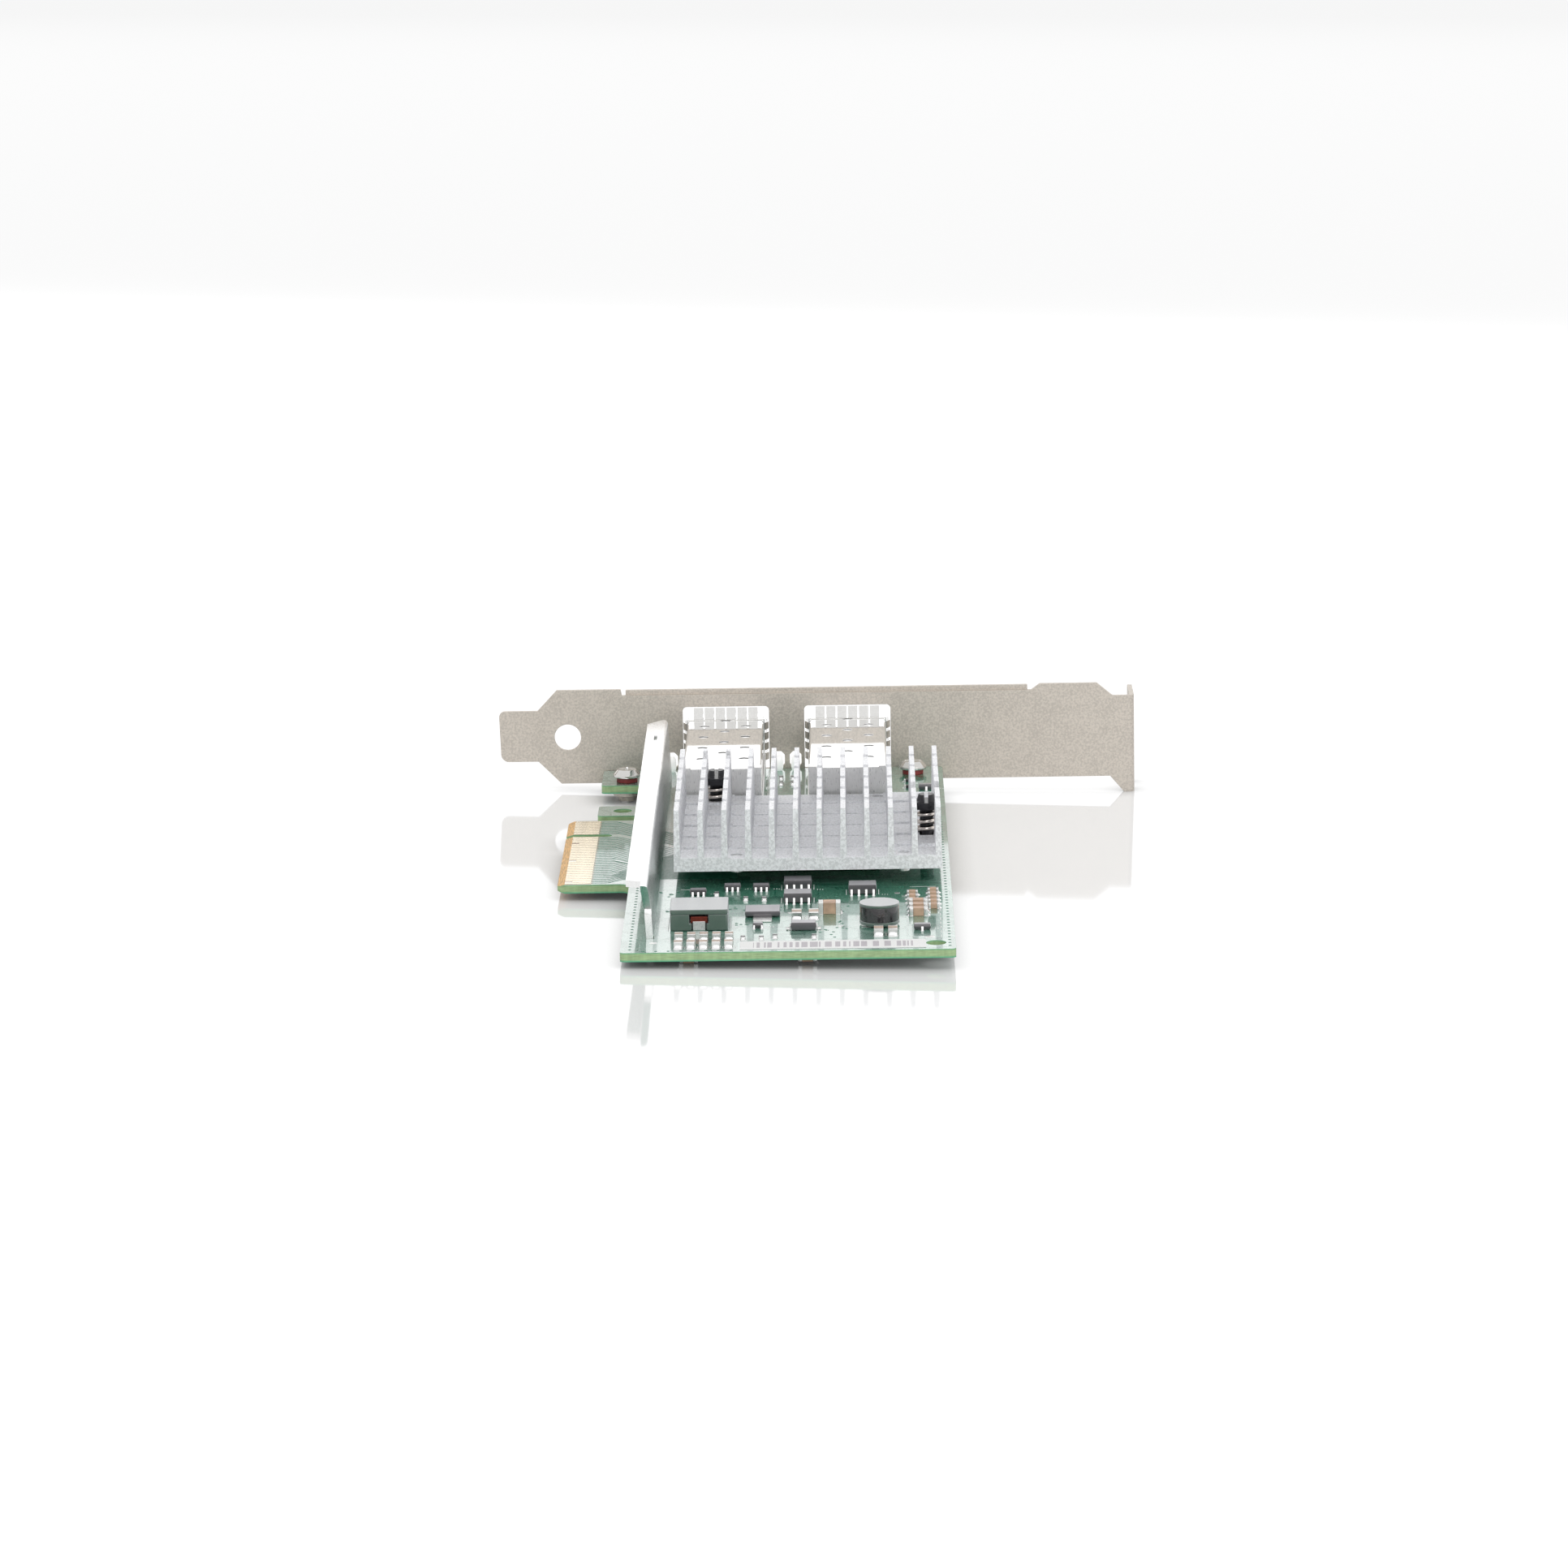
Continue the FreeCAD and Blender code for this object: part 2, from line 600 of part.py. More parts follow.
def cage_base(port):
    """Floor with its latch tongue, outer skirts with press-fit legs, and the rear wall with its hooks."""
    inner = CAGE_HALF - cage_sheet - edge_gap
    outer = (CAGE_HALF + fold_gap, CAGE_HALF + fold_gap + cage_sheet)
    foot = TOP + lid_gap
    pieces = [cage_floor(port, inner)]
    skirt_y = (CAGE_Y[0], FACE - spring_reach - spring_clear)
    tie_start, tie_pitch, tie_count, tie_wide = skirt_tie
    for side in (1, -1):
        wall = sorted((port + side * outer[0], port + side * outer[1]))
        pieces.append(block(wall, skirt_y, (foot, TOP + cage_skirt)))
        for y in leg_rows():
            pieces.append(block(wall, around(y, cage_leg[0]), (TOP - cage_leg[1], foot)))
        lap = sorted((port + side * (inner - tie_lap), port + side * inner))
        under = sorted((port + side * (inner - tie_lap), port + side * outer[1]))
        for y in steps(CAGE_Y[0] + skirt_back + tie_start, tie_pitch, tie_count):
            pieces.append(block(under, around(y, tie_wide), (foot, TOP + cage_seat)))
            pieces.append(block(lap, around(y, tie_wide), (foot, FLOOR_TOP)))
    return [joined(pieces + cage_rear(port, outer, foot))]


def cage_floor(port, inner):
    """Floor plate in front of the host connector, with the latch tongue slit out of it."""
    low, high = TOP + cage_seat, FLOOR_TOP
    socket_front = CAGE_Y[0] + cage_sheet + socket_back + socket[1]
    floor = block((port - inner, port + inner), (socket_front + floor_start, CAGE_Y[1]), (low, high))
    back, half, length, slit = latch
    root = CAGE_Y[1] - back
    tip = root + length
    slits = [(port - half - slit, root), (port - half, root), (port - half, tip), (port + half, tip),
             (port + half, root), (port + half + slit, root), (port + half + slit, tip + slit),
             (port - half - slit, tip + slit)]
    wide, near, far = latch_hole
    hole = [(port - wide, root + near), (port + wide, root + near), (port, root + far)]
    return floor.cut([prism(in_xy, slits, low - 1, high + 1), prism(in_xy, hole, low - 1, high + 1)])


def cage_rear(port, outer, foot):
    """Rear wall between the skirts, and two hooks folded over it onto the cover."""
    rear = CAGE_Y[0]
    wall = (rear, rear + cage_sheet)
    wide, reach, down = rear_hook
    hook_low = CAGE_TOP + lid_gap
    hook_high = hook_low + cage_sheet
    pieces = [block((port - CAGE_HALF, port + CAGE_HALF), wall, (TOP + rear_gap, CAGE_TOP))]
    for side in (1, -1):
        middle = port + side * (CAGE_HALF - wide / 2)
        pieces.append(block(around(middle, wide), (rear - cage_sheet, rear), (CAGE_TOP - down, hook_high)))
        pieces.append(block(around(middle, wide), (rear - cage_sheet, rear + reach), (hook_low, hook_high)))
        ear = sorted((port + side * (CAGE_HALF - cage_sheet), port + side * outer[1]))
        pieces.append(block(ear, wall, (foot, TOP + cage_skirt)))
    return pieces


def spring_finger(base, rise):
    """Side view of one spring finger as (y, height) corners: up from the band, over, and down the nose."""
    start = FACE - spring_reach + spring_band
    crest = FACE - spring_crest
    tip = CAGE_Y[1] - spring_nose[0]
    low = base + spring_nose[1]
    return [(start, base), (crest, base + rise - 2 * spring_sheet), (tip, low), (tip, low + spring_sheet),
            (crest, base + rise), (start - spring_sheet, base + spring_sheet)]


def cage_spring(port):
    """Spring collar clipped round a cage's mouth: a band with fingers that meet the bracket's window."""
    band_y = (FACE - spring_reach, FACE - spring_reach + spring_band)
    half = CAGE_HALF + lid_gap
    top = CAGE_TOP + lid_gap
    low = TOP + side_finger_low - collar_foot
    outer = half + spring_sheet
    band = [(port - outer, low), (port - half, low), (port - half, top), (port + half, top),
            (port + half, low), (port + outer, low),
            (port + outer, top + spring_sheet), (port - outer, top + spring_sheet)]
    pieces = [prism(in_xz, band, band_y[0], band_y[1])]
    count, pitch, width = top_fingers
    for x in steps(port - pitch * (count - 1) / 2, pitch, count):
        pieces.append(prism(in_yz, spring_finger(top, top_bulge - lid_gap), x - width / 2, x + width / 2))
    count, pitch, width = side_fingers
    profile = spring_finger(0, collar_bulge - lid_gap)
    for z in steps(TOP + side_finger_low, pitch, count):
        for side in (1, -1):
            corners = [(port + side * (half + out), y) for y, out in profile]
            pieces.append(prism(in_xy, corners, z - width / 2, z + width / 2))
    return [joined(pieces)]


def host_socket(port):
    """Moulded host connector inside the cage's rear end, with its card-edge mouth."""
    width, depth, height = socket
    back = CAGE_Y[0] + cage_sheet + socket_back
    front = back + depth
    body = block((port - width / 2, port + width / 2), (back, front), (TOP, TOP + height))
    mouth_w, mouth_h, mouth_d, mouth_z = socket_slot
    mouth = block((port - mouth_w / 2, port + mouth_w / 2), (front - mouth_d, front + 1),
                  (TOP + mouth_z, TOP + mouth_z + mouth_h))
    shelf, drop = socket_step
    step = block((port - width / 2 - 1, port + width / 2 + 1), (back - 1, back + shelf),
                 (TOP + height - drop, TOP + height + 1))
    relief = block((port - mouth_w / 2, port + mouth_w / 2), (back - 1, back + socket_relief[0]),
                   (TOP - 1, TOP + socket_relief[1]))
    groove_w, groove_h = blade_channel[:2]
    groove_z = (TOP + mouth_z - groove_h, TOP + mouth_z)
    groove_y = (front - mouth_d, front + 1)
    channels = [block(around(x, groove_w), groove_y, groove_z) for x in blade_places(port)]
    return [body.cut([mouth, step, relief] + channels)]


def blade_places(port):
    return steps(port - socket_pitch * (socket_pins - 1) / 2, socket_pitch, socket_pins)


def host_contacts(port):
    """Lower row of contact blades, each in its groove under the mouth."""
    back = CAGE_Y[0] + cage_sheet + socket_back
    front = back + socket[1]
    mouth_d, mouth_z = socket_slot[2:]
    wide, thick = socket_blade
    low = TOP + mouth_z - blade_channel[1] + blade_channel[2]
    blades = []
    for x in blade_places(port):
        blades.append(block(around(x, wide), (front - mouth_d, front - floor_start), (low, low + thick)))
    return blades


# ------------------------------------------------------------------ controller and heatsink
def sink_middle():
    return (sum(sink_span) / 2, sum(SINK_Y) / 2)


def centred(size, low, high):
    x, y = sink_middle()
    return block(around(x, size), around(y, size), (low, high))


def controller_balls():
    """Outer ring of the controller's solder balls, as short four-sided posts."""
    count, pitch, radius = ball_grid
    x, y = sink_middle()
    places = steps(-pitch * (count - 1) / 2, pitch, count)
    ring = [(u, v) for u in places for v in places if max(abs(u), abs(v)) > places[-1] - 0.5 * pitch]
    return [post(4, x + u, y + v, radius, TOP, TOP + ball_height) for u, v in ring]


def controller_substrate():
    low = TOP + ball_height
    return [centred(substrate[0], low, low + substrate[1])]


def controller_cover():
    """Moulded cap over the die, with chamfered upper edges."""
    low = TOP + ball_height + substrate[1]
    cap = centred(die_cover[0], low, low + die_cover[1])
    upper = [edge for edge in cap.Edges if edge.BoundBox.ZMin > low + die_cover[1] - 1e-6]
    return [cap.makeChamfer(0.3, upper)]


def controller_pad():
    high = SINK_FLOOR
    return [centred(die_cover[0] - 1.2, high - thermal_pad, high)]


def heatsink():
    """Extruded base with tapered fins, cross-cut into posts and cleared round the push pins."""
    left, right = sink_span
    near, far = SINK_Y
    pitch = (right - left - fin_thick[0]) / (fin_count - 1)
    wide, rise = outer_floor
    gap, bite = saw_cut
    root, crest = fin_thick[0] / 2, fin_thick[1] / 2
    section = [(left, SINK_FLOOR), (right, SINK_FLOOR), (right, SINK_TOP + rise),
               (right - wide, SINK_TOP + rise), (right - wide, SINK_TOP), (left + wide, SINK_TOP),
               (left + wide, SINK_TOP + rise), (left, SINK_TOP + rise)]
    pieces = [prism(in_xz, section, near, far)]
    for x in steps(left + root, pitch, fin_count):
        fin = [(x - root, SINK_TOP - bite), (x + root, SINK_TOP - bite), (x + crest, SINK_TOP + fin_height),
               (x - crest, SINK_TOP + fin_height)]
        pieces.append(prism(in_xz, fin, near, far))
    body = joined(pieces)
    row = (sink_length - (fin_rows - 1) * gap) / fin_rows
    cuts = []
    kerf_z = (SINK_TOP - bite, SINK_TOP + fin_height + 1)
    for start in steps(near + row, row + gap, fin_rows - 1):
        cuts.append(block((left - 1, right + 1), (start, start + gap), kerf_z))
    for x, y in pin_places():
        cuts.append(disc(x, y, pin_pocket, SINK_TOP + rise, SINK_TOP + fin_height + 1))
        cuts.append(post(bore_sides, x, y, pin_radius + pin_clear, SINK_FLOOR - 1, SINK_TOP + fin_height + 1))
    for x, y in stud_places():
        cuts.append(post(bore_sides, x, y, stud[0], SINK_FLOOR - 1, SINK_TOP + 1))
    return [body.cut(cuts)]


def stud_places():
    return [(x, FACE - inward) for x, inward in sink_studs]


def sink_stud_set():
    """Studs pressed through the base, proud below it and recessed above."""
    radius, below, recess = stud
    low, high = SINK_FLOOR - below, SINK_TOP - recess
    return [post(bore_sides, x, y, radius - stud_fit, low, high) for x, y in stud_places()]


def push_pin_set():
    """Plastic push pins: split crown, cap over the spring, shank, and a split barb under the board."""
    barb_radius, barb_length = pin_barb
    pins = []
    for x, inward, coil_height in push_pins:
        y = FACE - inward
        cap_low = SPRING_SEAT + coil_height
        cap_high = cap_low + pin_cap[1]
        top = cap_high + pin_crown[1]
        outline = [(0, UNDER - barb_length), (0.55 * barb_radius, UNDER - barb_length),
                   (barb_radius, UNDER - barb_land), (pin_radius, UNDER), (pin_radius, cap_low),
                   (pin_cap[0], cap_low), (pin_cap[0], cap_high), (pin_crown[0], cap_high),
                   (0.8 * pin_crown[0], top), (0, top)]
        wide = 3 * pin_crown[0]
        slots = [block(around(x, pin_slot), around(y, wide), (cap_high, top + 1)),
                 block(around(x, wide), around(y, pin_slot), (UNDER - barb_length - 1, UNDER - barb_land))]
        pins.append(turned(x, y, outline).cut(slots))
    return pins


def coil_section(turn, height):
    """Corners of the wire's square section at an angle and height of the coil."""
    half = coil_wire / 2
    corners = []
    for out, up in ((-half, -half), (half, -half), (half, half), (-half, half)):
        radius = coil_radius + out
        corners.append(V(radius * math.cos(turn), radius * math.sin(turn), height + up))
    return corners


def flat_face(corners):
    return Part.Face(Part.makePolygon(corners + corners[:1]))


def coil_spring(low, high):
    """Coil about the Z axis in short flat-sided runs."""
    count = round(coil_turns * coil_runs)
    rise = (high - low - coil_wire) / count
    first = low + coil_wire / 2
    step = 2 * math.pi / coil_runs
    sections = [coil_section(step * index, first + rise * index) for index in range(count + 1)]
    faces = [flat_face(sections[0]), flat_face(sections[-1])]
    for near, far in zip(sections, sections[1:]):
        for side in (1, 3):
            after = (side + 1) % 4
            faces.append(flat_face([near[side], far[side], far[after], near[after]]))
        for side in (0, 2):
            after = side + 1
            faces.append(flat_face([near[side], far[side], far[after]]))
            faces.append(flat_face([near[side], far[after], near[after]]))
    shell = Part.makeShell(faces)
    shell.sewShape()
    coil = Part.makeSolid(shell)
    if coil.Volume < 0:
        coil.reverse()
    return coil


def pin_spring_set():
    """Coil springs between the heatsink's floor and the caps of the push pins."""
    springs = []
    for x, inward, coil_height in push_pins:
        spring = coil_spring(SPRING_SEAT + coil_fit, SPRING_SEAT + coil_height - coil_fit)
        spring.translate(V(x, FACE - inward, 0))
        springs.append(spring)
    return springs


# ------------------------------------------------------------------ stiffener bar
def stiffener_bar():
    """Folded bar along the contact side: a top flange, a leaning web with a front leg, and lugs."""
    near, far = bar_span()
    top = TOP + bar_height
    lean = math.hypot(bar_foot - bar_top[1], bar_height) / bar_height * bar_sheet
    bend = bar_top[1] - lean
    profile = [(bar_top[0], top), (bar_top[1], top, bar_bend), (bar_foot, TOP), (bar_foot - lean, TOP),
               (bend, top - bar_sheet, 0.3), (bar_top[0], top - bar_sheet)]
    pieces = [prism(in_xz, profile, near, far)]
    for y in lug_rows():
        lug_x = (bar_foot - bar_sheet, bar_foot)
        pieces.append(block(lug_x, around(y, bar_lug[0]), (TOP - bar_lug[1], TOP + bar_lug[2])))
    back, straight = bar_leg
    leg = near + back
    depth, tall = bar_notch
    under = [(near - 1, TOP - 1), (leg, TOP - 1), (leg, TOP + straight - tall),
             (leg + depth, TOP + straight - tall), (leg + depth, TOP + straight), (leg, TOP + straight),
             (near, top), (near - 1, top)]
    short, front_slant, back_slant = flange_ends
    free = bar_top[0]
    front = [(free - 1, near - 1), (bend, near - 1),
             (bend, near + short), (free - 1, near + short + front_slant)]
    behind = [(free - 1, far + 1), (free - 1, far - back_slant), (free, far - back_slant),
              (bend, far), (bend, far + 1)]
    wide, length, inset, aside = flange_slot
    soft = nearly_half(wide)
    low, high = far - inset - length, far - inset
    slot = [(free + aside - wide / 2, low, soft), (free + aside + wide / 2, low, soft),
            (free + aside + wide / 2, high, soft), (free + aside - wide / 2, high, soft)]
    flange_z = (top - 2 * bar_sheet, top + 1)
    cuts = [prism(in_yz, under, bend - bar_sheet, bar_foot + 1)]
    cuts += [prism(in_xy, outline, flange_z[0], flange_z[1]) for outline in (front, behind, slot)]
    return [joined(pieces).cut(cuts)]


# ------------------------------------------------------------------ parts soldered to the board
class Chip:
    """Two-ended chip part: a body between metal ends, lying along X or Y on either face of the board."""

    def __init__(self, x, y, length, width, height, along="y", face=1):
        self.spans = (length, width) if along == "x" else (width, length)
        self.x, self.y, self.along = x, y, along
        self.length = length
        self.z = (TOP, TOP + height) if face > 0 else (UNDER - height, UNDER)

    def part(self, low, high):
        """Stretch of the part between two distances from its middle."""
        if self.along == "x":
            return block((self.x + low, self.x + high), around(self.y, self.spans[1]), self.z)
        return block(around(self.x, self.spans[0]), (self.y + low, self.y + high), self.z)

    def body(self):
        inner = self.length * (0.5 - chip_end)
        return self.part(-inner, inner)

    def ends(self):
        inner = self.length * (0.5 - chip_end)
        outer = self.length / 2
        return [self.part(-outer, -inner), self.part(inner, outer)]


def bodies(chips):
    return [chip.body() for chip in chips]


def chip_ends(chips):
    return [end for chip in chips for end in chip.ends()]


def power_capacitors():
    """Large brown ceramic capacitors of the supply stages, by the far edge and beside the switches."""
    far = board_span - 6.0
    stack = [Chip(far, y, 3.2, 1.7, 1.4, "x") for y in steps(FRONT + 25.0, 3.2, 3)]
    return stack + [Chip(board_span - 21.2, FRONT + 27.8, 3.8, 2.6, 2.0, "x")]


def small_capacitors():
    """Small brown ceramic capacitors: two columns behind the large ones."""
    left = [Chip(board_span - 6.9, y, 1.9, 1.2, 0.9, "x") for y in steps(FRONT + 34.4, 2.9, 3)]
    right = [Chip(board_span - 3.3, y, 1.9, 1.2, 0.9, "x") for y in steps(FRONT + 30.2, 2.9, 5)]
    return left + right


def output_capacitors():
    """Two rows of five chips in front of the first inductor, and pairs beside the switches."""
    rows = [Chip(x, FRONT + y, 2.2, 1.4, 1.2) for x in steps(22.3, 2.12, 5) for y in (3.3, 9.0)]
    pairs = [Chip(x, FRONT + 24.0, 3.2, 1.7, 1.3) for x in (42.1, 45.0)]
    front = [Chip(x, FRONT + 11.0, 3.0, 1.6, 1.3) for x in (56.0, 58.4)]
    return rows + pairs + front


def chip_resistors():
    """Small dark resistors scattered in the supply section and between the cages."""
    front = [(33.1, 9.0), (36.2, 8.8), (38.5, 9.8), (45.1, 9.4), (28.1, 42.2), (33.2, 38.3), (36.4, 38.0)]
    chips = [Chip(x, FRONT + y, 1.6, 0.8, 0.5) for x, y in front]
    gap = sum(PORTS) / 2
    for inward in (10.0, 15.0):
        chips += [Chip(gap + side * 1.1, FACE - inward, 1.6, 0.8, 0.5) for side in (-1, 1)]
    beyond = PORTS[1] + CAGE_HALF + port_side_clear
    chips += [Chip(beyond, FACE - inward, 1.6, 0.8, 0.5, "x") for inward in (14.0, 19.5)]
    return chips


def solder_side_capacitors():
    """Capacitors on the solder side: under the supply section and under the controller."""
    x, y = sink_middle()
    supply = [Chip(u, FRONT + v, 3.2, 1.6, 1.33, "x", -1) for u in (24.0, 44.0) for v in (5.0, 12.0)]
    core = [Chip(x + u, y + v, 1.6, 0.8, 0.8, "y", -1) for u in (-6, 6) for v in (-8, 0, 8)]
    return supply + core


def gull_lead(x, y, out, reach, height, width):
    """Gull-wing lead leaving a body's face at x, y in the direction out along Y."""
    side = [(0, height), (0.3 * reach, height), (0.55 * reach, lead_sheet), (reach, lead_sheet), (reach, 0),
            (0.42 * reach, 0), (0.2 * reach, height - lead_sheet), (0, height - lead_sheet)]
    corners = [(y + out * u, TOP + v) for u, v in side]
    return prism(in_yz, corners, x - width / 2, x + width / 2)


class LeadedPackage:
    """Moulded package with gull-wing leads on its front and back faces."""

    def __init__(self, x, y, size, reach, width, pitch, front, back):
        self.x, self.y, self.size = x, y, size
        self.reach, self.width, self.pitch = reach, width, pitch
        self.counts = (front, back)

    def body(self):
        wide, deep, tall = self.size
        height = (TOP + package_rise, TOP + tall)
        return tapered(around(self.x, wide), around(self.y, deep), height, package_draft)

    def leads(self):
        deep, tall = self.size[1:]
        middle = (package_rise + tall + lead_sheet) / 2
        found = []
        for count, out, pitch in ((self.counts[0], -1, self.pitch[0]), (self.counts[1], 1, self.pitch[1])):
            for x in steps(self.x - pitch * (count - 1) / 2, pitch, count):
                found.append(gull_lead(x, self.y + out * deep / 2, out, self.reach, middle, self.width))
        return found


def small_outline(x, y):
    """Eight-lead small-outline package."""
    return LeadedPackage(x, y, (4.9, 3.9, 1.7), 1.05, 0.42, (1.27, 1.27), 4, 4)


def six_lead(x, y):
    return LeadedPackage(x, y, (2.9, 1.6, 1.15), 0.65, 0.4, (0.95, 0.95), 3, 3)


def three_lead(x, y):
    return LeadedPackage(x, y, (2.9, 1.4, 1.05), 0.6, 0.42, (0.95, 1.9), 1, 2)


def converter_packages():
    """Eight-lead switches and controllers of the supply section."""
    places = ((42.15, 47.4), (42.2, 37.2), (53.4, 43.0))
    return [small_outline(x, FRONT + behind) for x, behind in places]


def regulator_packages():
    """Six-lead regulators between the switches and the contact side."""
    return [six_lead(24.9, FRONT + 42.6), six_lead(30.8, FRONT + 46.0), six_lead(35.8, FRONT + 45.7)]


def small_three_lead(x, y):
    return LeadedPackage(x, y, (1.8, 1.25, 0.95), 0.45, 0.32, (1.3, 0), 2, 1)


def transistor_packages():
    """Three-lead transistors at the front, beside the second port, and in front of the flat switch."""
    beside = three_lead(PORTS[1] + CAGE_HALF + beside_clear, FACE - beside_back)
    return [three_lead(63.4, FRONT + 14.4), beside, small_three_lead(35.55, FRONT + 17.2)]


def package_bodies(packages):
    return [package.body() for package in packages]


def package_leads(packages):
    return [lead for package in packages for lead in package.leads()]


def power_switch():
    """Flat leadless switch in the middle of the supply section."""
    x, y = power_switch_place[0], FRONT + power_switch_place[1]
    wide, deep, tall = power_switch_size
    return [tapered(around(x, wide), around(y, deep), (TOP + switch_pad[2], TOP + tall), switch_draft)]


def power_switch_pads():
    """Copper lead frame under the flat switch: a wide pad in front and four lands behind."""
    x, y = power_switch_place[0], FRONT + power_switch_place[1]
    wide, deep, tall = power_switch_size
    pad_w, reach, thick = switch_pad
    behind, under, out = switch_lap
    pads = [block(around(x, pad_w), (y - deep / 2 - reach, y + behind), (TOP, TOP + thick))]
    land_y = (y + deep / 2 - under, y + deep / 2 + out)
    land_w, pitch, count = switch_land
    for land in steps(x - pitch * (count - 1) / 2, pitch, count):
        pads.append(block(around(land, land_w), land_y, (TOP, TOP + thick)))
    return pads


def diode_body():
    x, y = diode_place[0], FRONT + diode_place[1]
    wide, deep, tall = diode_size
    return [tapered(around(x, wide), around(y, deep), (TOP + package_rise, TOP + tall), package_draft)]


def diode_leads():
    """Flat leads folded down both ends of the diode."""
    x, y = diode_place[0], FRONT + diode_place[1]
    wide, deep, tall = diode_size
    lead_w, thick, rise, foot = diode_lead
    leads = []
    for side in (1, -1):
        face = x + side * wide / 2
        strap = [(face, TOP + rise), (face + side * thick, TOP + rise), (face + side * thick, TOP + thick),
                 (face + side * foot, TOP + thick), (face + side * foot, TOP), (face, TOP)]
        leads.append(prism(in_xz, strap, y - lead_w / 2, y + lead_w / 2))
    return leads


# ------------------------------------------------------------------ inductors
def inductor_box():
    wide, deep, tall = inductor_size
    x, y = inductor_place[0], FRONT + inductor_place[1]
    return around(x, wide), around(y, deep), (TOP, TOP + tall)


def inductor_core():
    """Lower ferrite core, with a channel for the winding and a slot for its ends in both faces."""
    x, y, z = inductor_box()
    middle = sum(x) / 2
    split = z[1] - inductor_plate
    wide, rise = inductor_window
    wider, depth, over = inductor_slot
    core = block(x, y, (z[0] + inductor_gap, split))
    edges = [edge for edge in core.Edges if edge.BoundBox.ZLength > 1]
    core = core.makeFillet(inductor_corner, edges)
    cuts = [block(around(middle, wide), (y[0] - 1, y[1] + 1), (z[0] + rise, split + 1))]
    for face, out in ((y[0], -1), (y[1], 1)):
        slot = sorted((face + out, face - out * depth))
        cuts.append(block(around(middle, inductor_lead + wider), slot, (z[0] - 1, z[0] + rise + over)))
    return [core.cut(cuts)]


def inductor_cap():
    """Upper ferrite plate over the channel."""
    x, y, z = inductor_box()
    plate = block(x, y, (z[1] - inductor_plate + inductor_split, z[1]))
    edges = [edge for edge in plate.Edges if edge.BoundBox.ZLength > 0.5]
    return [plate.makeFillet(inductor_corner, edges)]


def inductor_winding():
    """Flat copper strap through the channel, with both ends folded down to the board."""
    x, y, z = inductor_box()
    middle = sum(x) / 2
    low = z[0] + inductor_window[1] + inductor_gap
    inset, outside, inside, lap = strap_end
    strap_w = inductor_window[0] - 2 * strap_side
    strap = block(around(middle, strap_w), (y[0] + inset, y[1] - inset), (low, low + strap_thick))
    ends = []
    for face, out in ((y[0], -1), (y[1], 1)):
        leg = sorted((face - out * outside, face - out * inside))
        ends.append(block(around(middle, inductor_lead), leg, (z[0], low + lap)))
    return [joined([strap] + ends)]


def drum_levels():
    """Heights of the drum: its foot, both faces of the winding's space, and its top."""
    low, high = TOP + drum_rise, TOP + drum_height
    return low, low + drum_flange[0], high - drum_flange[1], high


def drum_core():
    """Ferrite drum, two flanges on a waist, and the resin coat that leaves the winding open on one side."""
    x, y = drum_place[0], FRONT + drum_place[1]
    foot, floor, ceiling, top = drum_levels()
    outline = [(0, foot), (drum_radius, foot), (drum_radius, floor), (drum_waist, floor),
               (drum_waist, ceiling), (drum_radius, ceiling), (drum_radius, top), (0, top)]
    thick, inset, open_angle = drum_coat
    outer = drum_radius - inset
    low, high = floor + drum_gap[2], ceiling - drum_gap[2]
    section = [(outer - thick, low), (outer, low), (outer, high), (outer - thick, high)]
    wire = Part.makePolygon([V(x + radius, y, height) for radius, height in section + section[:1]])
    coat = Part.Face(wire).revolve(V(x, y, 0), V(0, 0, 1), 360 - open_angle)
    coat.rotate(V(x, y, 0), V(0, 0, 1), open_angle)
    return [turned(x, y, outline), coat]


def drum_winding():
    """Enamelled wire wound on the drum's waist, as one solid ring."""
    x, y = drum_place[0], FRONT + drum_place[1]
    floor, ceiling = drum_levels()[1:3]
    across, upright = drum_gap[:2]
    low, high = floor + upright, ceiling - upright
    inner, outer = drum_waist + across, drum_radius - drum_coat[0] - drum_coat[1] - across
    ring = post(winding_sides, x, y, outer, low, high)
    return [ring.cut(post(winding_sides, x, y, inner, low - 1, high + 1))]


def drum_terminals():
    """Two flat terminals under the drum."""
    x, y = drum_place[0], FRONT + drum_place[1]
    wide, deep, aside = drum_terminal
    height = (TOP, TOP + drum_rise - drum_gap[1])
    return [block(around(x + side * aside, wide), around(y, deep), height) for side in (-1, 1)]


# ------------------------------------------------------------------ indicators and label
def indicator_leds():
    """Side-looking indicators behind the bracket's small windows, each with a domed lens."""
    deep, tall = led_size
    front = FACE - bracket_gap - led_back
    leds = []
    for x in led_places():
        body = block(around(x, led_width()), (front - deep, front), (TOP, TOP + tall))
        leds.append(joined([body, led_barrel(x, front)]))
    return leds


def led_barrel(x, front):
    """Half-barrel lens standing on the front of an indicator."""
    radius = min(led_lens[0], led_width() / 2)
    tip, soft = front + led_lens[1], led_lens_edge * radius
    corners = [(x - radius, front - 0.1), (x + radius, front - 0.1),
               (x + radius, tip, soft), (x - radius, tip, soft)]
    return prism(in_xy, corners, TOP + led_rise - radius, TOP + led_rise + radius)


def bare_label():
    """Blank paper label at the front edge."""
    left, inset = label_place
    wide, deep, thick = label_size
    return [block((left, left + wide), (FRONT + inset, FRONT + inset + deep), (TOP, TOP + thick))]


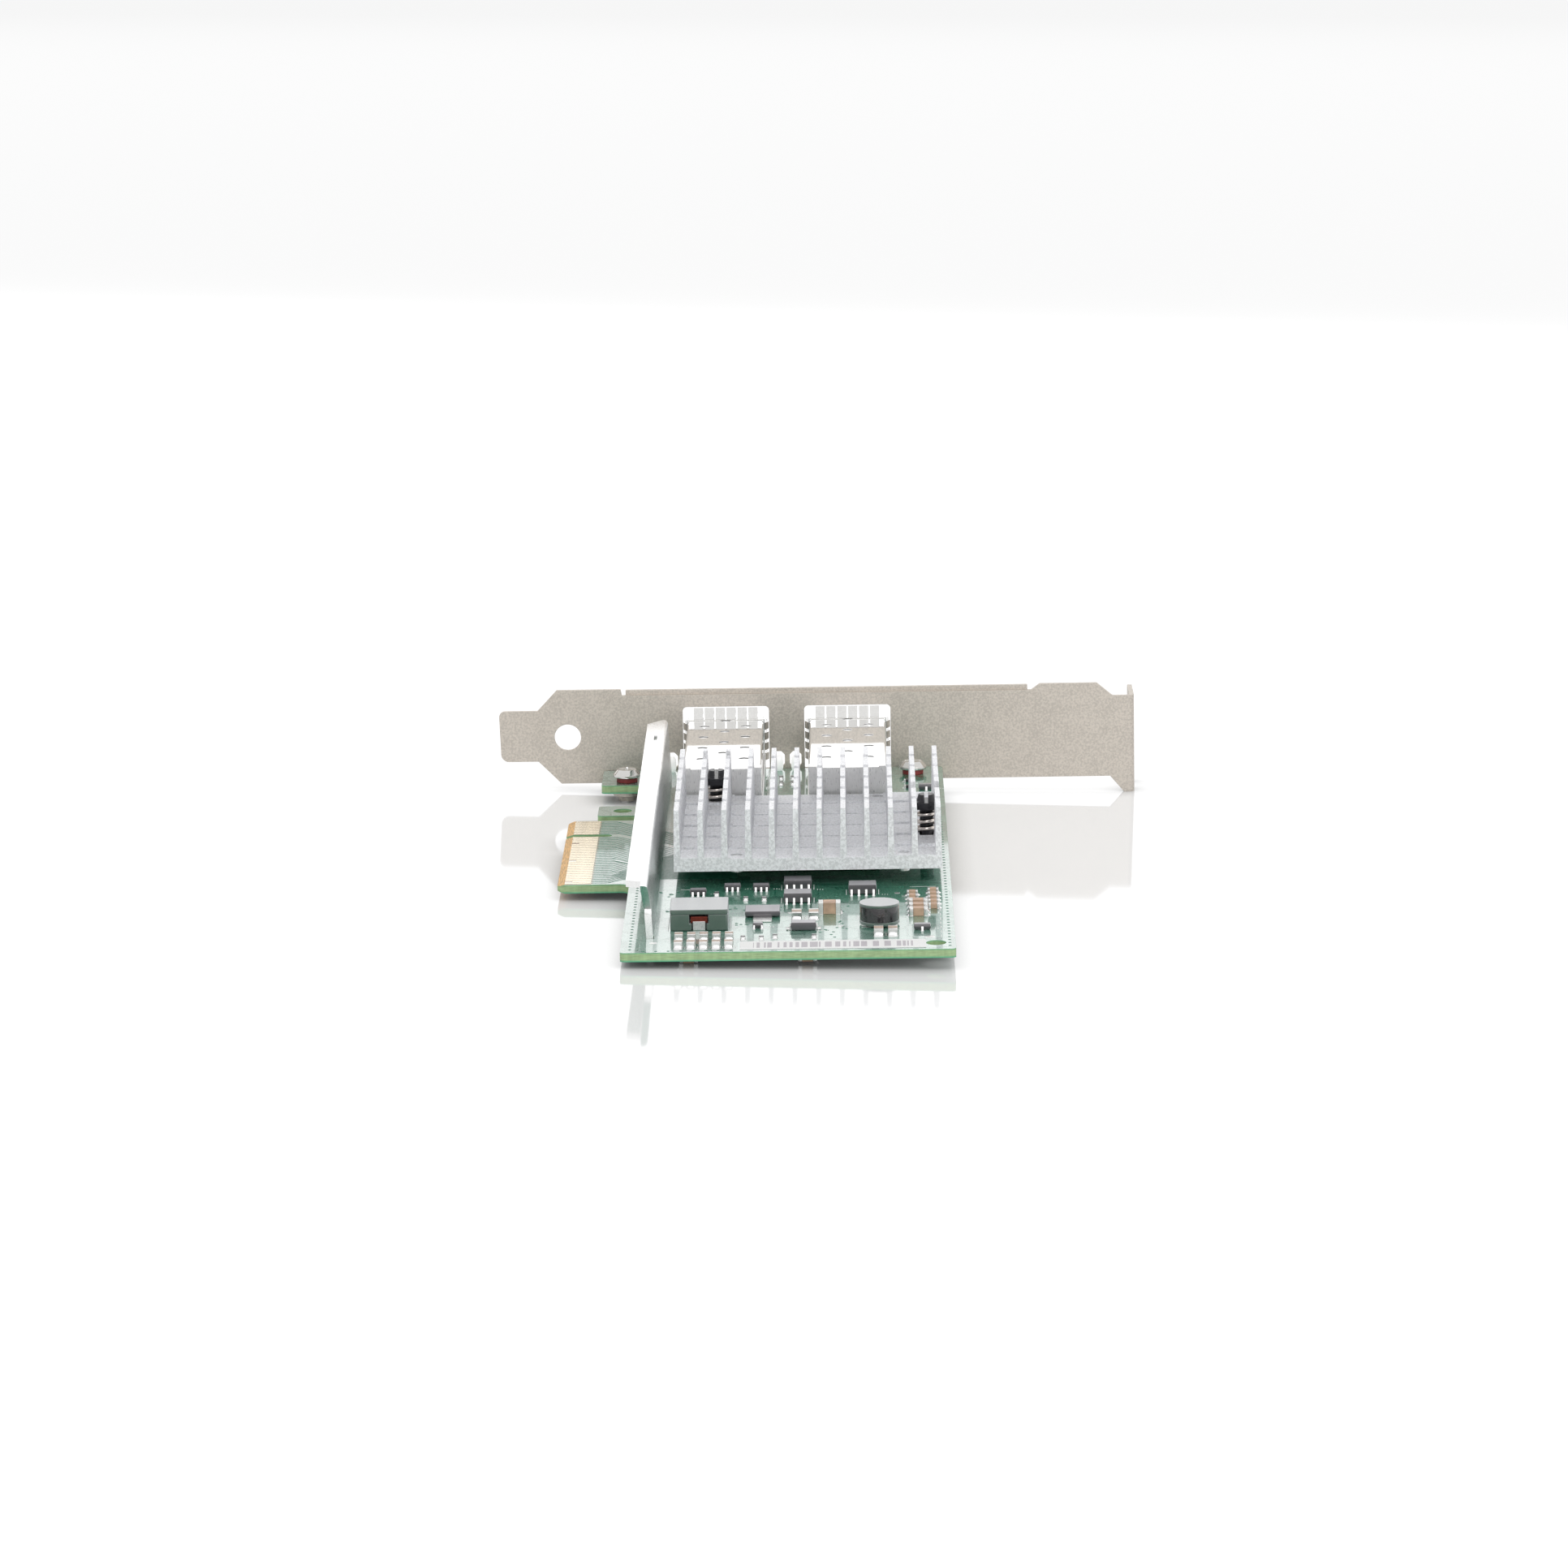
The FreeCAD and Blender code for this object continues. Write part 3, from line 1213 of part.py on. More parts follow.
# ------------------------------------------------------------------ all nodes
def build():
    os.makedirs("parts", exist_ok=True)
    save("circuit_board", circuit_board())
    save("edge_contacts", edge_contacts())
    save("bracket", bracket())
    save("bracket_screws", bracket_screw_set())
    save("screw_washers", screw_washers())
    for name, port in zip(("a", "b"), PORTS):
        save("cage_cover_" + name, cage_cover(port))
        save("cage_base_" + name, cage_base(port))
        save("cage_spring_" + name, cage_spring(port))
        save("host_socket_" + name, host_socket(port))
        save("host_contacts_" + name, host_contacts(port))
    save("controller_balls", controller_balls())
    save("controller_substrate", controller_substrate())
    save("controller_cover", controller_cover())
    save("thermal_pad", controller_pad())
    save("heatsink", heatsink())
    save("heatsink_studs", sink_stud_set())
    save("push_pins", push_pin_set())
    save("pin_springs", pin_spring_set())
    save("stiffener_bar", stiffener_bar())
    for name, chips in (
        ("power_capacitor", power_capacitors()),
        ("small_capacitor", small_capacitors()),
        ("output_capacitor", output_capacitors()),
        ("chip_resistor", chip_resistors()),
        ("solder_side_capacitor", solder_side_capacitors()),
    ):
        save(name + "_bodies", bodies(chips))
        save(name + "_ends", chip_ends(chips))
    for name, packages in (
        ("converter", converter_packages()),
        ("regulator", regulator_packages()),
        ("transistor", transistor_packages()),
    ):
        save(name + "_bodies", package_bodies(packages))
        save(name + "_leads", package_leads(packages))
    save("power_switch", power_switch())
    save("power_switch_pads", power_switch_pads())
    save("diode_body", diode_body())
    save("diode_leads", diode_leads())
    save("inductor_core", inductor_core())
    save("inductor_cap", inductor_cap())
    save("inductor_winding", inductor_winding())
    save("drum_core", drum_core())
    save("drum_winding", drum_winding())
    save("drum_terminals", drum_terminals())
    save("indicator_leds", indicator_leds())
    save("bare_label", bare_label())


build()
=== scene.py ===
import math

import bmesh
import bpy
import numpy as np
from mathutils import Matrix, Vector


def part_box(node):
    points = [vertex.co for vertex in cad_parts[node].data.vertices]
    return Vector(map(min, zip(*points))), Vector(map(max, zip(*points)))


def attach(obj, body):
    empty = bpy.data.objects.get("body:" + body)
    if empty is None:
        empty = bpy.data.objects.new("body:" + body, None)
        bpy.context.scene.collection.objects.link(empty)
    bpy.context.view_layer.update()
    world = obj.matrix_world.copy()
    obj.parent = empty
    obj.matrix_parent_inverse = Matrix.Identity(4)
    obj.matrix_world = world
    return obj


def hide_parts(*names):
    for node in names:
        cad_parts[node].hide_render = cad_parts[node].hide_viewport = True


bl_info = {
    "name": "Network interface card looks",
    "version": (1, 0, 0),
    "blender": (4, 5, 0),
    "location": "View3D > Sidebar > Card",
    "description": "Finishes and fine detail for a dual-port network interface card",
    "category": "Object",
}

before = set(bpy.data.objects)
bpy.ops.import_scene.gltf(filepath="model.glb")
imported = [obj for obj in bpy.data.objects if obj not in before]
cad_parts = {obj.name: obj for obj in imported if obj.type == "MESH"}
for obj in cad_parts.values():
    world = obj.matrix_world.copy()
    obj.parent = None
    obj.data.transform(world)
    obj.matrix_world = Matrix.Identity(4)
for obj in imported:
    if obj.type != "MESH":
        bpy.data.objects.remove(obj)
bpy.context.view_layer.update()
ROOT = "root"
MM = 0.001
MICRON = 1e-6

BOARD_LOW, BOARD_HIGH = (np.array(corner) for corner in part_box("circuit_board"))
TOP = BOARD_HIGH[2]          # upper face of the board
UNDER = BOARD_LOW[2]
FRONT = BOARD_LOW[1]
FAR_EDGE = BOARD_HIGH[0]


# ---------------- settings
def colour(name, description, default):
    return bpy.props.FloatVectorProperty(
        name=name, description=description, default=default, subtype="COLOR", size=3, min=0, max=1
    )


def length(name, description, default):
    return bpy.props.FloatProperty(
        name=name, description=description, default=default, unit="LENGTH", precision=5
    )


def amount(name, description, default):
    return bpy.props.FloatProperty(name=name, description=description, default=default)


class CardColours(bpy.types.PropertyGroup):
    mask_dark: colour("Mask over laminate", "Solder mask with no copper under it", (0.004, 0.150, 0.085))
    mask_light: colour("Mask over copper", "Solder mask over a copper area or trace", (0.016, 0.230, 0.130))
    edge: colour("Board edge", "Sawn laminate at the edges of the board", (0.33, 0.47, 0.24))
    bevel: colour("Contact bevel", "Ground bevel in front of the edge contacts", (0.66, 0.38, 0.12))
    bare: colour("Bare laminate", "Laminate without mask, between the edge contacts", (0.34, 0.20, 0.08))
    silkscreen: colour("Legend ink", "White legend ink on the board", (0.82, 0.84, 0.82))
    gold: colour("Gold", "Gold plating on contacts", (0.93, 0.84, 0.66))
    bracket: colour("Bracket", "Satin plated steel of the bracket", (0.57, 0.525, 0.47))
    cage: colour("Cage", "Tin-plated sheet of the port cages", (0.86, 0.855, 0.845))
    spring: colour("Spring collar", "Spring sheet round the cage mouths", (0.74, 0.735, 0.72))
    aluminium: colour("Heatsink", "Natural aluminium", (0.90, 0.905, 0.925))
    bar: colour("Stiffener bar", "Bright satin plate of the stiffener bar", (0.88, 0.88, 0.875))
    screw: colour("Screws", "Bright nickel plate", (0.66, 0.65, 0.63))
    coil: colour("Coil springs", "Drawn spring wire", (0.74, 0.68, 0.63))
    stud: colour("Studs", "Plain steel studs of the heatsink", (0.68, 0.68, 0.68))
    tin: colour("Tin", "Matt tin on leads and chip ends", (0.70, 0.70, 0.69))
    solder: colour("Solder", "Reflowed solder", (0.84, 0.84, 0.84))
    copper: colour("Copper", "Bare copper strap and pads", (0.19, 0.045, 0.032))
    wire: colour("Enamelled wire", "Winding of the drum inductor", (0.50, 0.20, 0.07))
    washer: colour("Fibre washers", "Dull red fibre", (0.30, 0.045, 0.045))
    pin: colour("Push pins", "Black moulded plastic", (0.012, 0.012, 0.015))
    socket: colour("Sockets", "Black moulded plastic of the host connectors", (0.02, 0.02, 0.023))
    package: colour("Packages", "Moulded epoxy of the chips", (0.035, 0.030, 0.038))
    substrate: colour("Controller substrate", "Package laminate", (0.03, 0.16, 0.08))
    ferrite: colour("Ferrite", "Pressed ferrite of the inductors", (0.022, 0.075, 0.046))
    ceramic_tan: colour("Tan ceramic", "Bodies of the large ceramic capacitors", (0.60, 0.40, 0.28))
    ceramic_grey: colour("Grey ceramic", "Bodies of the output capacitors", (0.56, 0.44, 0.36))
    resistor: colour("Resistors", "Coated faces of chip resistors", (0.035, 0.035, 0.04))
    pad: colour("Thermal pad", "Soft filled pad under the heatsink", (0.40, 0.41, 0.44))
    lens: colour("Indicators", "Clear moulded resin", (0.93, 0.93, 0.92))
    # Painted sheen: a pale colour mixed in at a low angle of view, in place of the light that the mask and
    # mouldings reflect.
    painted_sheen: colour("Haze", "Dusty sheen of the mask and the mouldings at a low angle", (0.90, 0.86, 0.93))
    resin: colour("Drum coat", "Dark resin round the drum's winding", (0.030, 0.026, 0.030))
    label: colour("Label", "Matt white label stock", (0.86, 0.86, 0.85))
    label_ink: colour("Label bars", "Plain bars printed on the label", (0.50, 0.47, 0.50))


class CardSizes(bpy.types.PropertyGroup):
    sheet_edge: length("Sheet edge", "Rounding of sheared sheet edges", 0.09 * MM)
    board_edge: length("Board edge", "Rounding of the board's arrises", 0.05 * MM)
    fin_edge: length("Fin edge", "Rounding of the heatsink's edges", 0.22 * MM)
    part_edge: length("Part edge", "Rounding of moulded and ceramic parts", 0.06 * MM)
    trace_width: length("Trace width", "Width of signal traces", 0.20 * MM)
    trace_height: length("Trace height", "Height of mask over a trace", 0.035 * MM)
    ink_height: length("Ink height", "Height of the legend ink", 0.02 * MM)
    ink_width: length("Ink width", "Width of legend lines", 0.16 * MM)
    via_radius: length("Via radius", "Outer radius of a via's ring", 0.30 * MM)
    via_hole: length("Via hole", "Radius of a via's dimple", 0.13 * MM)
    fillet_reach: length("Fillet reach", "How far solder runs out from a chip's end", 0.45 * MM)
    fillet_rise: amount("Fillet rise", "Share of a chip's height that solder climbs", 0.6)
    coil_wire: length("Coil wire", "Diameter of the push pins' spring wire", 0.62 * MM)
    coil_pitch: length("Coil pitch", "Rise of the push pins' springs in a turn", 1.25 * MM)
    magnet_wire: length("Magnet wire", "Diameter of the drum's enamelled wire", 0.27 * MM)


class CardStage(bpy.types.PropertyGroup):
    camera_place: bpy.props.FloatVectorProperty(
        name="Camera place", description="Where the camera stands", unit="LENGTH",
        default=(0.052396, -1.160094, 0.256841), size=3,
    )
    camera_yaw: amount("Yaw", "Turn of the camera about the vertical, in radians", -0.011071)
    camera_pitch: amount("Pitch", "How far the camera looks down, in radians", 0.209764)
    camera_roll: amount("Roll", "Turn of the picture, in radians", 0.016657)
    camera_lens: amount("Lens", "Focal length in millimetres", 150.91)
    floor_rise: bpy.props.FloatVectorProperty(
        name="Floor", description="Height at the origin, and slopes along X and Y", size=3, precision=6,
        default=(-0.0024007, -0.018064, -0.0079166),
    )
    sky: amount("Sky light", "Light from all round", 0.74)
    key: amount("Key lamp", "Watts of the large lamp above the front", 11.0)
    back: amount("Back lamp", "Watts of the panel behind the card", 5.0)


# ---------------- finishes
class Graph:
    """Nodes and links of one shader tree."""

    def __init__(self, tree):
        self.tree = tree

    def node(self, kind, **values):
        made = self.tree.nodes.new("ShaderNode" + kind)
        for key, value in values.items():
            setattr(made, key, value)
        return made

    def give(self, socket, value):
        """Links an output to a socket, or sets the socket to a number or a colour."""
        if isinstance(value, bpy.types.NodeSocket):
            self.tree.links.new(value, socket)
        else:
            socket.default_value = value if isinstance(value, (int, float)) else (*value, 1.0)

    def made(self, kind, inputs, output=0, **values):
        """One output of a new node whose inputs are given."""
        node = self.node(kind, **values)
        for name, value in inputs.items():
            self.give(node.inputs[name], value)
        return node.outputs[output]

    def math(self, operation, first, second):
        return self.made("Math", {0: first, 1: second}, operation=operation)

    def times(self, first, second):
        return self.math("MULTIPLY", first, second)

    def blend(self, factor, first, second):
        """Mix of two shaders."""
        return self.made("MixShader", {0: factor, 1: first, 2: second})

    def end(self, kind, shader):
        """The tree's output node."""
        self.give(self.node(kind).inputs["Surface"], shader)


class Finish(Graph):
    """Node graph of one finish on a single Principled shader, read from Object coordinates."""

    def __init__(self, name, base, roughness, metallic=0.0, coat=None):
        material = bpy.data.materials.new(name)
        material.use_nodes = True
        super().__init__(material.node_tree)
        self.shader = self.tree.nodes["Principled BSDF"]
        self.place = self.node("TexCoord").outputs["Object"]
        self.set("Base Color", base)
        self.set("Roughness", roughness)
        self.set("Metallic", metallic)
        if coat:
            for socket, value in zip(("Coat Weight", "Coat Roughness", "Coat IOR"), coat):
                self.set(socket, value)

    def set(self, socket, value):
        self.give(self.shader.inputs[socket], value)

    def axes(self):
        """X, Y and Z of the place."""
        return self.made("SeparateXYZ", {"Vector": self.place}).node.outputs

    def noise(self, grain, detail=3.0, stretch=(1, 1, 1)):
        """Noise whose features are about grain metres across, with each axis times its stretch."""
        mapping = self.node("Mapping")
        mapping.inputs["Scale"].default_value = stretch
        self.give(mapping.inputs["Vector"], self.place)
        place = mapping.outputs["Vector"]
        return self.made("TexNoise", {"Scale": 1 / grain, "Detail": detail, "Vector": place}, "Fac")

    def ramp(self, value, stops):
        """Colour ramp through two (position, colour) stops."""
        made = self.node("ValToRGB")
        for element, (position, tone) in zip(made.color_ramp.elements, stops):
            element.position = position
            element.color = (*tone, 1.0)
        self.give(made.inputs["Fac"], value)
        return made.outputs["Color"]

    def tones(self, value, base, dark, light, low=0.3, high=0.7):
        """Base colour times dark where the pattern is at low, up to times light where it is at high."""
        return self.ramp(value, ((low, shade(base, dark)), (high, shade(base, light))))

    def span(self, value, low, high, inner=0.3, outer=0.7):
        """Value between two limits as the pattern goes from inner to outer."""
        limits = {"From Min": inner, "From Max": outer, "To Min": low, "To Max": high}
        return self.made("MapRange", {**limits, "Value": value}, "Result")

    def mix(self, factor, first, second):
        """Mix of two colours."""
        return self.made("Mix", {0: factor, 6: first, 7: second}, 2, data_type="RGBA")

    def sum(self, first, share, second):
        """Share of the first pattern and the rest of the second."""
        return self.math("ADD", self.times(first, share), self.times(second, 1 - share))

    def bump(self, height, depth):
        """Bump whose full height is depth metres."""
        self.set("Normal", self.made("Bump", {"Distance": depth, "Height": height}, "Normal"))

    def with_painted_sheen(self, tone, blend, share=1.0):
        """Tone under a painted sheen, times share: a pale colour mixed in as the angle of view grows low,
        standing in for reflected light.
        """
        weight = self.times(self.made("LayerWeight", {"Blend": blend}, "Facing"), share)
        return self.mix(weight, tone, bpy.context.scene.card_colours.painted_sheen)


def shade(base, factor):
    return tuple(min(1.0, part * factor) for part in base)


def metal(name, base, roughness, grain, tone=0.06, depth=4, stretch=(1, 1, 1), spread=0.10, metallic=1.0,
          coat=None):
    """Metal with slight tone and roughness changes over its grain, and a fine surface depth microns deep."""
    finish = Finish(name, base, roughness, metallic, coat)
    coarse = finish.noise(grain * 9, detail=4.0, stretch=stretch)
    fine = finish.noise(grain, detail=2.0, stretch=stretch)
    both = finish.sum(coarse, 0.2, fine)
    finish.set("Base Color", finish.tones(both, base, 1 - tone, 1 + tone, 0.38, 0.62))
    finish.set("Roughness", finish.span(both, roughness - spread, roughness + spread))
    finish.bump(fine, depth * MICRON)


def plastic(name, base, roughness, grain, tone=0.25, depth=6, painted_sheen=0.0, coat=None):
    """Moulded or fired surface: fine even grain depth microns deep, with a little variation in tone."""
    finish = Finish(name, base, roughness, coat=coat)
    fine = finish.noise(grain)
    toned = finish.tones(finish.noise(grain * 14, detail=2.0), base, 1 - tone, 1 + tone)
    # A share of painted sheen pales the tone at a low angle of view.
    finish.set("Base Color", finish.with_painted_sheen(toned, painted_sheen) if painted_sheen else toned)
    finish.set("Roughness", finish.span(fine, roughness - 0.08, roughness + 0.08))
    finish.bump(fine, depth * MICRON)


# Plain finishes: how each is made, its colour, its roughness, its grain in millimetres, and what else it has.
# A coat is its weight, its roughness and its index of refraction.
PLAIN = {
    "gold_plating": (metal, "gold", 0.22, 0.05, dict(tone=0.07, depth=1, stretch=(0.2, 1, 1))),
    # Satin plated sheet with a faint cloudy tone.
    "bracket_steel": (metal, "bracket", 0.55, 0.36, dict(tone=0.13, depth=10, spread=0.08, metallic=0.75)),
    # Bright tin on rolled sheet, with soft rolling marks, and the same tin duller on the folded bases.
    "cage_steel": (metal, "cage", 0.04, 0.14, dict(tone=0.02, depth=0.02, stretch=(1, 0.25, 1), spread=0.01,
                                                   metallic=0.78)),
    "folded_steel": (metal, "cage", 0.30, 0.14, dict(tone=0.05, depth=0.5, stretch=(1, 1, 0.2), spread=0.04,
                                                     metallic=0.35)),
    "spring_steel": (metal, "spring", 0.20, 0.08, dict(depth=2, stretch=(1, 0.3, 1))),
    "bar_metal": (metal, "bar", 0.30, 0.12, dict(tone=0.05, depth=3, stretch=(1, 0.2, 1), spread=0.06)),
    "screw_steel": (metal, "screw", 0.05, 0.07, dict(depth=1, spread=0.04)),
    "coil_steel": (metal, "coil", 0.14, 0.05, dict(tone=0.10, depth=1, spread=0.05)),
    "pin_steel": (metal, "stud", 0.28, 0.06, dict(tone=0.08, depth=2)),
    "tinned": (metal, "tin", 0.32, 0.08, dict(tone=0.08, depth=5)),
    "solder": (metal, "solder", 0.20, 0.12, dict(spread=0.08)),
    "copper": (metal, "copper", 0.30, 0.10, dict(tone=0.14, depth=3, stretch=(1, 0.3, 1))),
    # Copper wire under clear enamel.
    "enamelled_wire": (metal, "wire", 0.30, 0.10, dict(tone=0.18, depth=2, coat=(1.0, 0.12, 1.5))),
    # Vulcanised fibre: dull, with short strands.
    "red_fibre": (plastic, "washer", 0.55, 0.10, dict(tone=0.35, depth=14)),
    "pin_plastic": (plastic, "pin", 0.34, 0.12, dict(depth=4)),
    "socket_plastic": (plastic, "socket", 0.45, 0.10, {}),
    # Moulded epoxy: fine spark-eroded texture under a painted sheen that pales it at a low angle of view.
    "mould_black": (plastic, "package", 0.42, 0.16, dict(tone=0.15, depth=8, painted_sheen=0.12,
                                                         coat=(0.8, 0.3, 1.8))),
    # Glossy resin coat, slightly wavy.
    "drum_resin": (plastic, "resin", 0.25, 0.8, dict(tone=0.2, depth=5, coat=(1.0, 0.03, 1.5))),
    "package_laminate": (plastic, "substrate", 0.3, 0.3, dict(tone=0.2, depth=4)),
    "tan_ceramic": (plastic, "ceramic_tan", 0.5, 0.12, dict(tone=0.2, depth=7)),
    "grey_ceramic": (plastic, "ceramic_grey", 0.5, 0.12, dict(tone=0.2, depth=7)),
    "dark_ceramic": (plastic, "resistor", 0.35, 0.08, dict(tone=0.2, depth=4)),
    "pad_grey": (plastic, "pad", 0.7, 0.2, dict(tone=0.12, depth=16)),
}


def solder_mask(name, colours):
    """Glossy mask: copper areas, gaps between them and bundles of traces show through as lighter green."""
    finish = Finish(name, colours.mask_light, 0.22, coat=(1.0, 0.05, 1.75))
    area_width = 7.5 * MM
    cells = {"Scale": 1 / area_width, "Randomness": 0.9, "Vector": finish.place}
    square = {"voronoi_dimensions": "2D", "distance": "CHEBYCHEV"}
    nearest = finish.made("TexVoronoi", cells, **square).node
    second = finish.made("TexVoronoi", cells, feature="F2", **square).node
    gap = finish.math("SUBTRACT", second.outputs["Distance"], nearest.outputs["Distance"])
    inside = finish.span(gap, 0, 1, 0.02, 0.05)
    chance = finish.made("SeparateColor", {"Color": nearest.outputs["Color"]}).node.outputs
    band_scale = 1 / (20 * 0.42 * MM)     # a wave texture has 20 radians for each unit of its scale
    bundles = []
    for direction in ("X", "Y"):
        bands = finish.made("TexWave", {"Scale": band_scale, "Vector": finish.place}, "Fac",
                            wave_type="BANDS", bands_direction=direction, wave_profile="TRI")
        bundles.append(finish.span(bands, 0, 1, 0.42, 0.50))
    along_y = finish.math("GREATER_THAN", chance["Green"], 0.5)
    bundle = finish.made("Mix", {0: along_y, 2: bundles[0], 3: bundles[1]}, data_type="FLOAT")
    no_pour, sheen_on_laminate, sheen_by_bar = 0.38, 0.30, 0.9
    poured = finish.math("GREATER_THAN", chance["Red"], no_pour)
    covered = finish.times(finish.math("MAXIMUM", poured, bundle), inside)
    weave = finish.noise(0.35 * MM, detail=2.0)
    masked = finish.mix(covered, colours.mask_dark, colours.mask_light)
    x, y, _ = finish.axes()
    # Laminate is bare round the edge contacts.
    contacts_end = islands("edge_contacts")[:, 1].max(axis=0)
    beside = finish.math("LESS_THAN", x, contacts_end[0] + 0.25 * MM)
    bare = finish.times(beside, finish.math("LESS_THAN", y, contacts_end[1] + 0.5 * MM))
    # Painted sheen in place of reflected light: fullest near the front and beside the stiffener bar, and
    # weaker over bare laminate than over copper.
    bar_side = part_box("stiffener_bar")[1].x + 4.5 * MM
    near_front = finish.span(y, 1.0, 0.30, FRONT + 2 * MM, FRONT + 26 * MM)
    beside_bar = finish.times(finish.math("LESS_THAN", x, bar_side), sheen_by_bar)
    open_area = finish.math("MAXIMUM", near_front, beside_bar)
    sheen_share = finish.times(open_area, finish.span(covered, sheen_on_laminate, 1.0, 0.0, 1.0))
    finish.set("Base Color", finish.mix(bare, finish.with_painted_sheen(masked, 0.09, sheen_share), colours.bare))
    finish.bump(finish.math("ADD", covered, finish.times(weave, 0.25)), 18 * MICRON)
    finish.set("Roughness", finish.span(weave, 0.18, 0.30))


def laminate_edge(name, colours):
    """Sawn glass laminate: fine layers parallel to the faces, frayed along them, between skins of mask."""
    finish = Finish(name, colours.edge, 0.55)
    layers = finish.noise(0.22 * MM, stretch=(0.12, 0.12, 1.0))
    cut = finish.noise(0.9 * MM, detail=4.0, stretch=(1.0, 1.0, 0.2))
    both = finish.sum(layers, 0.6, cut)
    tone = finish.tones(both, colours.edge, 0.78, 1.25, 0.34, 0.66)
    skin = shade(colours.mask_light, 1.8)
    z = finish.axes()["Z"]
    lower = finish.span(z, 0.9, 0.0, UNDER, UNDER + 0.42 * MM)
    upper = finish.span(z, 0.0, 0.6, TOP - 0.30 * MM, TOP)
    finish.set("Base Color", finish.mix(upper, finish.mix(lower, tone, skin), skin))
    finish.bump(both, 30 * MICRON)


def bevel_laminate(name, colours):
    """Ground bevel at the contacts: bare laminate with drag marks along the edge."""
    finish = Finish(name, colours.bevel, 0.5)
    drag = finish.noise(0.12 * MM, stretch=(1.0, 0.06, 1.0))
    finish.set("Base Color", finish.tones(drag, colours.bevel, 0.7, 1.35, 0.35, 0.65))
    finish.bump(drag, 12 * MICRON)


def raised_trace(name, colours):
    """Mask over a trace: thin there, so it has little of the mask's gloss."""
    finish = Finish(name, colours.mask_dark, 0.4, coat=(0.25, 0.2, 1.75))
    dark, light = shade(colours.mask_dark, 0.8), shade(colours.mask_light, 0.8)
    finish.set("Base Color", finish.ramp(finish.noise(0.3 * MM), ((0.3, dark), (0.7, light))))


def legend_ink(name, colours):
    """White legend ink, slightly thin in places."""
    finish = Finish(name, colours.silkscreen, 0.5)
    grain = finish.noise(0.08 * MM, detail=4.0)
    thin = tuple(0.75 * ink + 0.25 * mask for ink, mask in zip(colours.silkscreen, colours.mask_light))
    finish.set("Base Color", finish.ramp(grain, ((0.36, thin), (0.46, colours.silkscreen))))


def aluminium(name, colours):
    """Tumbled extrusion: speckled all over, with long drawing lines."""
    finish = Finish(name, colours.aluminium, 0.5, metallic=0.2)
    speckle = finish.noise(0.42 * MM, detail=4.0)
    lines = finish.noise(0.16 * MM, detail=2.0, stretch=(1, 0.05, 1))
    both = finish.sum(speckle, 0.75, lines)
    finish.set("Base Color", finish.tones(both, colours.aluminium, 0.84, 1.06, 0.44, 0.56))
    finish.set("Roughness", finish.span(speckle, 0.42, 0.58))
    finish.bump(both, 14 * MICRON)


def ferrite(name, colours):
    """Pressed and ground ferrite: matt, with grinding lines and small pits."""
    finish = Finish(name, colours.ferrite, 0.48, coat=(1.0, 0.32, 1.8))
    lines = finish.noise(0.10 * MM, stretch=(1, 0.12, 1))
    pits = finish.noise(0.25 * MM, detail=4.0)
    both = finish.sum(lines, 0.5, pits)
    toned = finish.tones(both, colours.ferrite, 0.75, 1.25, 0.35, 0.65)
    # Painted sheen pales the ferrite at a low angle of view.
    finish.set("Base Color", finish.with_painted_sheen(toned, 0.16))
    finish.set("Roughness", finish.span(lines, 0.36, 0.58))
    finish.bump(both, 12 * MICRON)


def clear_resin(name, colours):
    """Milky resin: nearly opaque, with a smooth skin, and made pale all through by a painted glow, as it
    gives off light though it is no lamp.
    """
    finish = Finish(name, colours.lens, 0.25)
    finish.set("Transmission Weight", 0.02)
    finish.set("IOR", 1.52)
    # Painted glow: the resin gives off light of its own colour.
    finish.set("Emission Color", colours.lens)
    finish.set("Emission Strength", 0.4)
    cloud = finish.noise(0.8 * MM, detail=2.0)
    finish.set("Base Color", finish.tones(cloud, colours.lens, 0.88, 1.08))


def label_paper(name, colours):
    """Label stock with a row of plain bars of uneven width along it."""
    finish = Finish(name, colours.label, 0.5)
    fibre = finish.noise(0.15 * MM, detail=4.0)
    window = finish.span(finish.noise(1.0 * MM, detail=1.0, stretch=(1, 0, 0)), 0.0, 1.0, 0.49, 0.50)
    low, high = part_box("bare_label")
    x, y, _ = finish.axes()
    margin = 1.1 * MM
    for operation, axis, limit in (
        ("GREATER_THAN", y, low.y + margin), ("LESS_THAN", y, high.y - margin),
        ("GREATER_THAN", x, low.x + 2 * margin), ("LESS_THAN", x, high.x - 2 * margin),
    ):
        window = finish.times(window, finish.math(operation, axis, limit))
    paper = finish.tones(fibre, colours.label, 0.94, 1.06)
    finish.set("Base Color", finish.mix(window, paper, colours.label_ink))
    finish.bump(fibre, 6 * MICRON)


SPECIAL = {
    build.__name__: build
    for build in (solder_mask, laminate_edge, bevel_laminate, raised_trace, legend_ink, aluminium, ferrite,
                  clear_resin, label_paper)
}


def material(finish):
    """The material of this finish, made the first time that it is asked for."""
    name = "card_" + finish
    if name not in bpy.data.materials:
        colours = bpy.context.scene.card_colours
        if finish in SPECIAL:
            SPECIAL[finish](name, colours)
        else:
            make, base, roughness, grain, options = PLAIN[finish]
            make(name, getattr(colours, base), roughness, grain * MM, **options)
    return bpy.data.materials[name]


# ---------------- making pieces
def finish_piece(piece, finish, nodes=()):
    """Every finished piece: its material, the body it rides on and the nodes it stands for."""
    piece.data.materials.clear()
    piece.data.materials.append(material(finish))
    bpy.context.scene.collection.objects.link(piece)
    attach(piece, ROOT)
    if nodes:
        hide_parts(*nodes)
    return piece


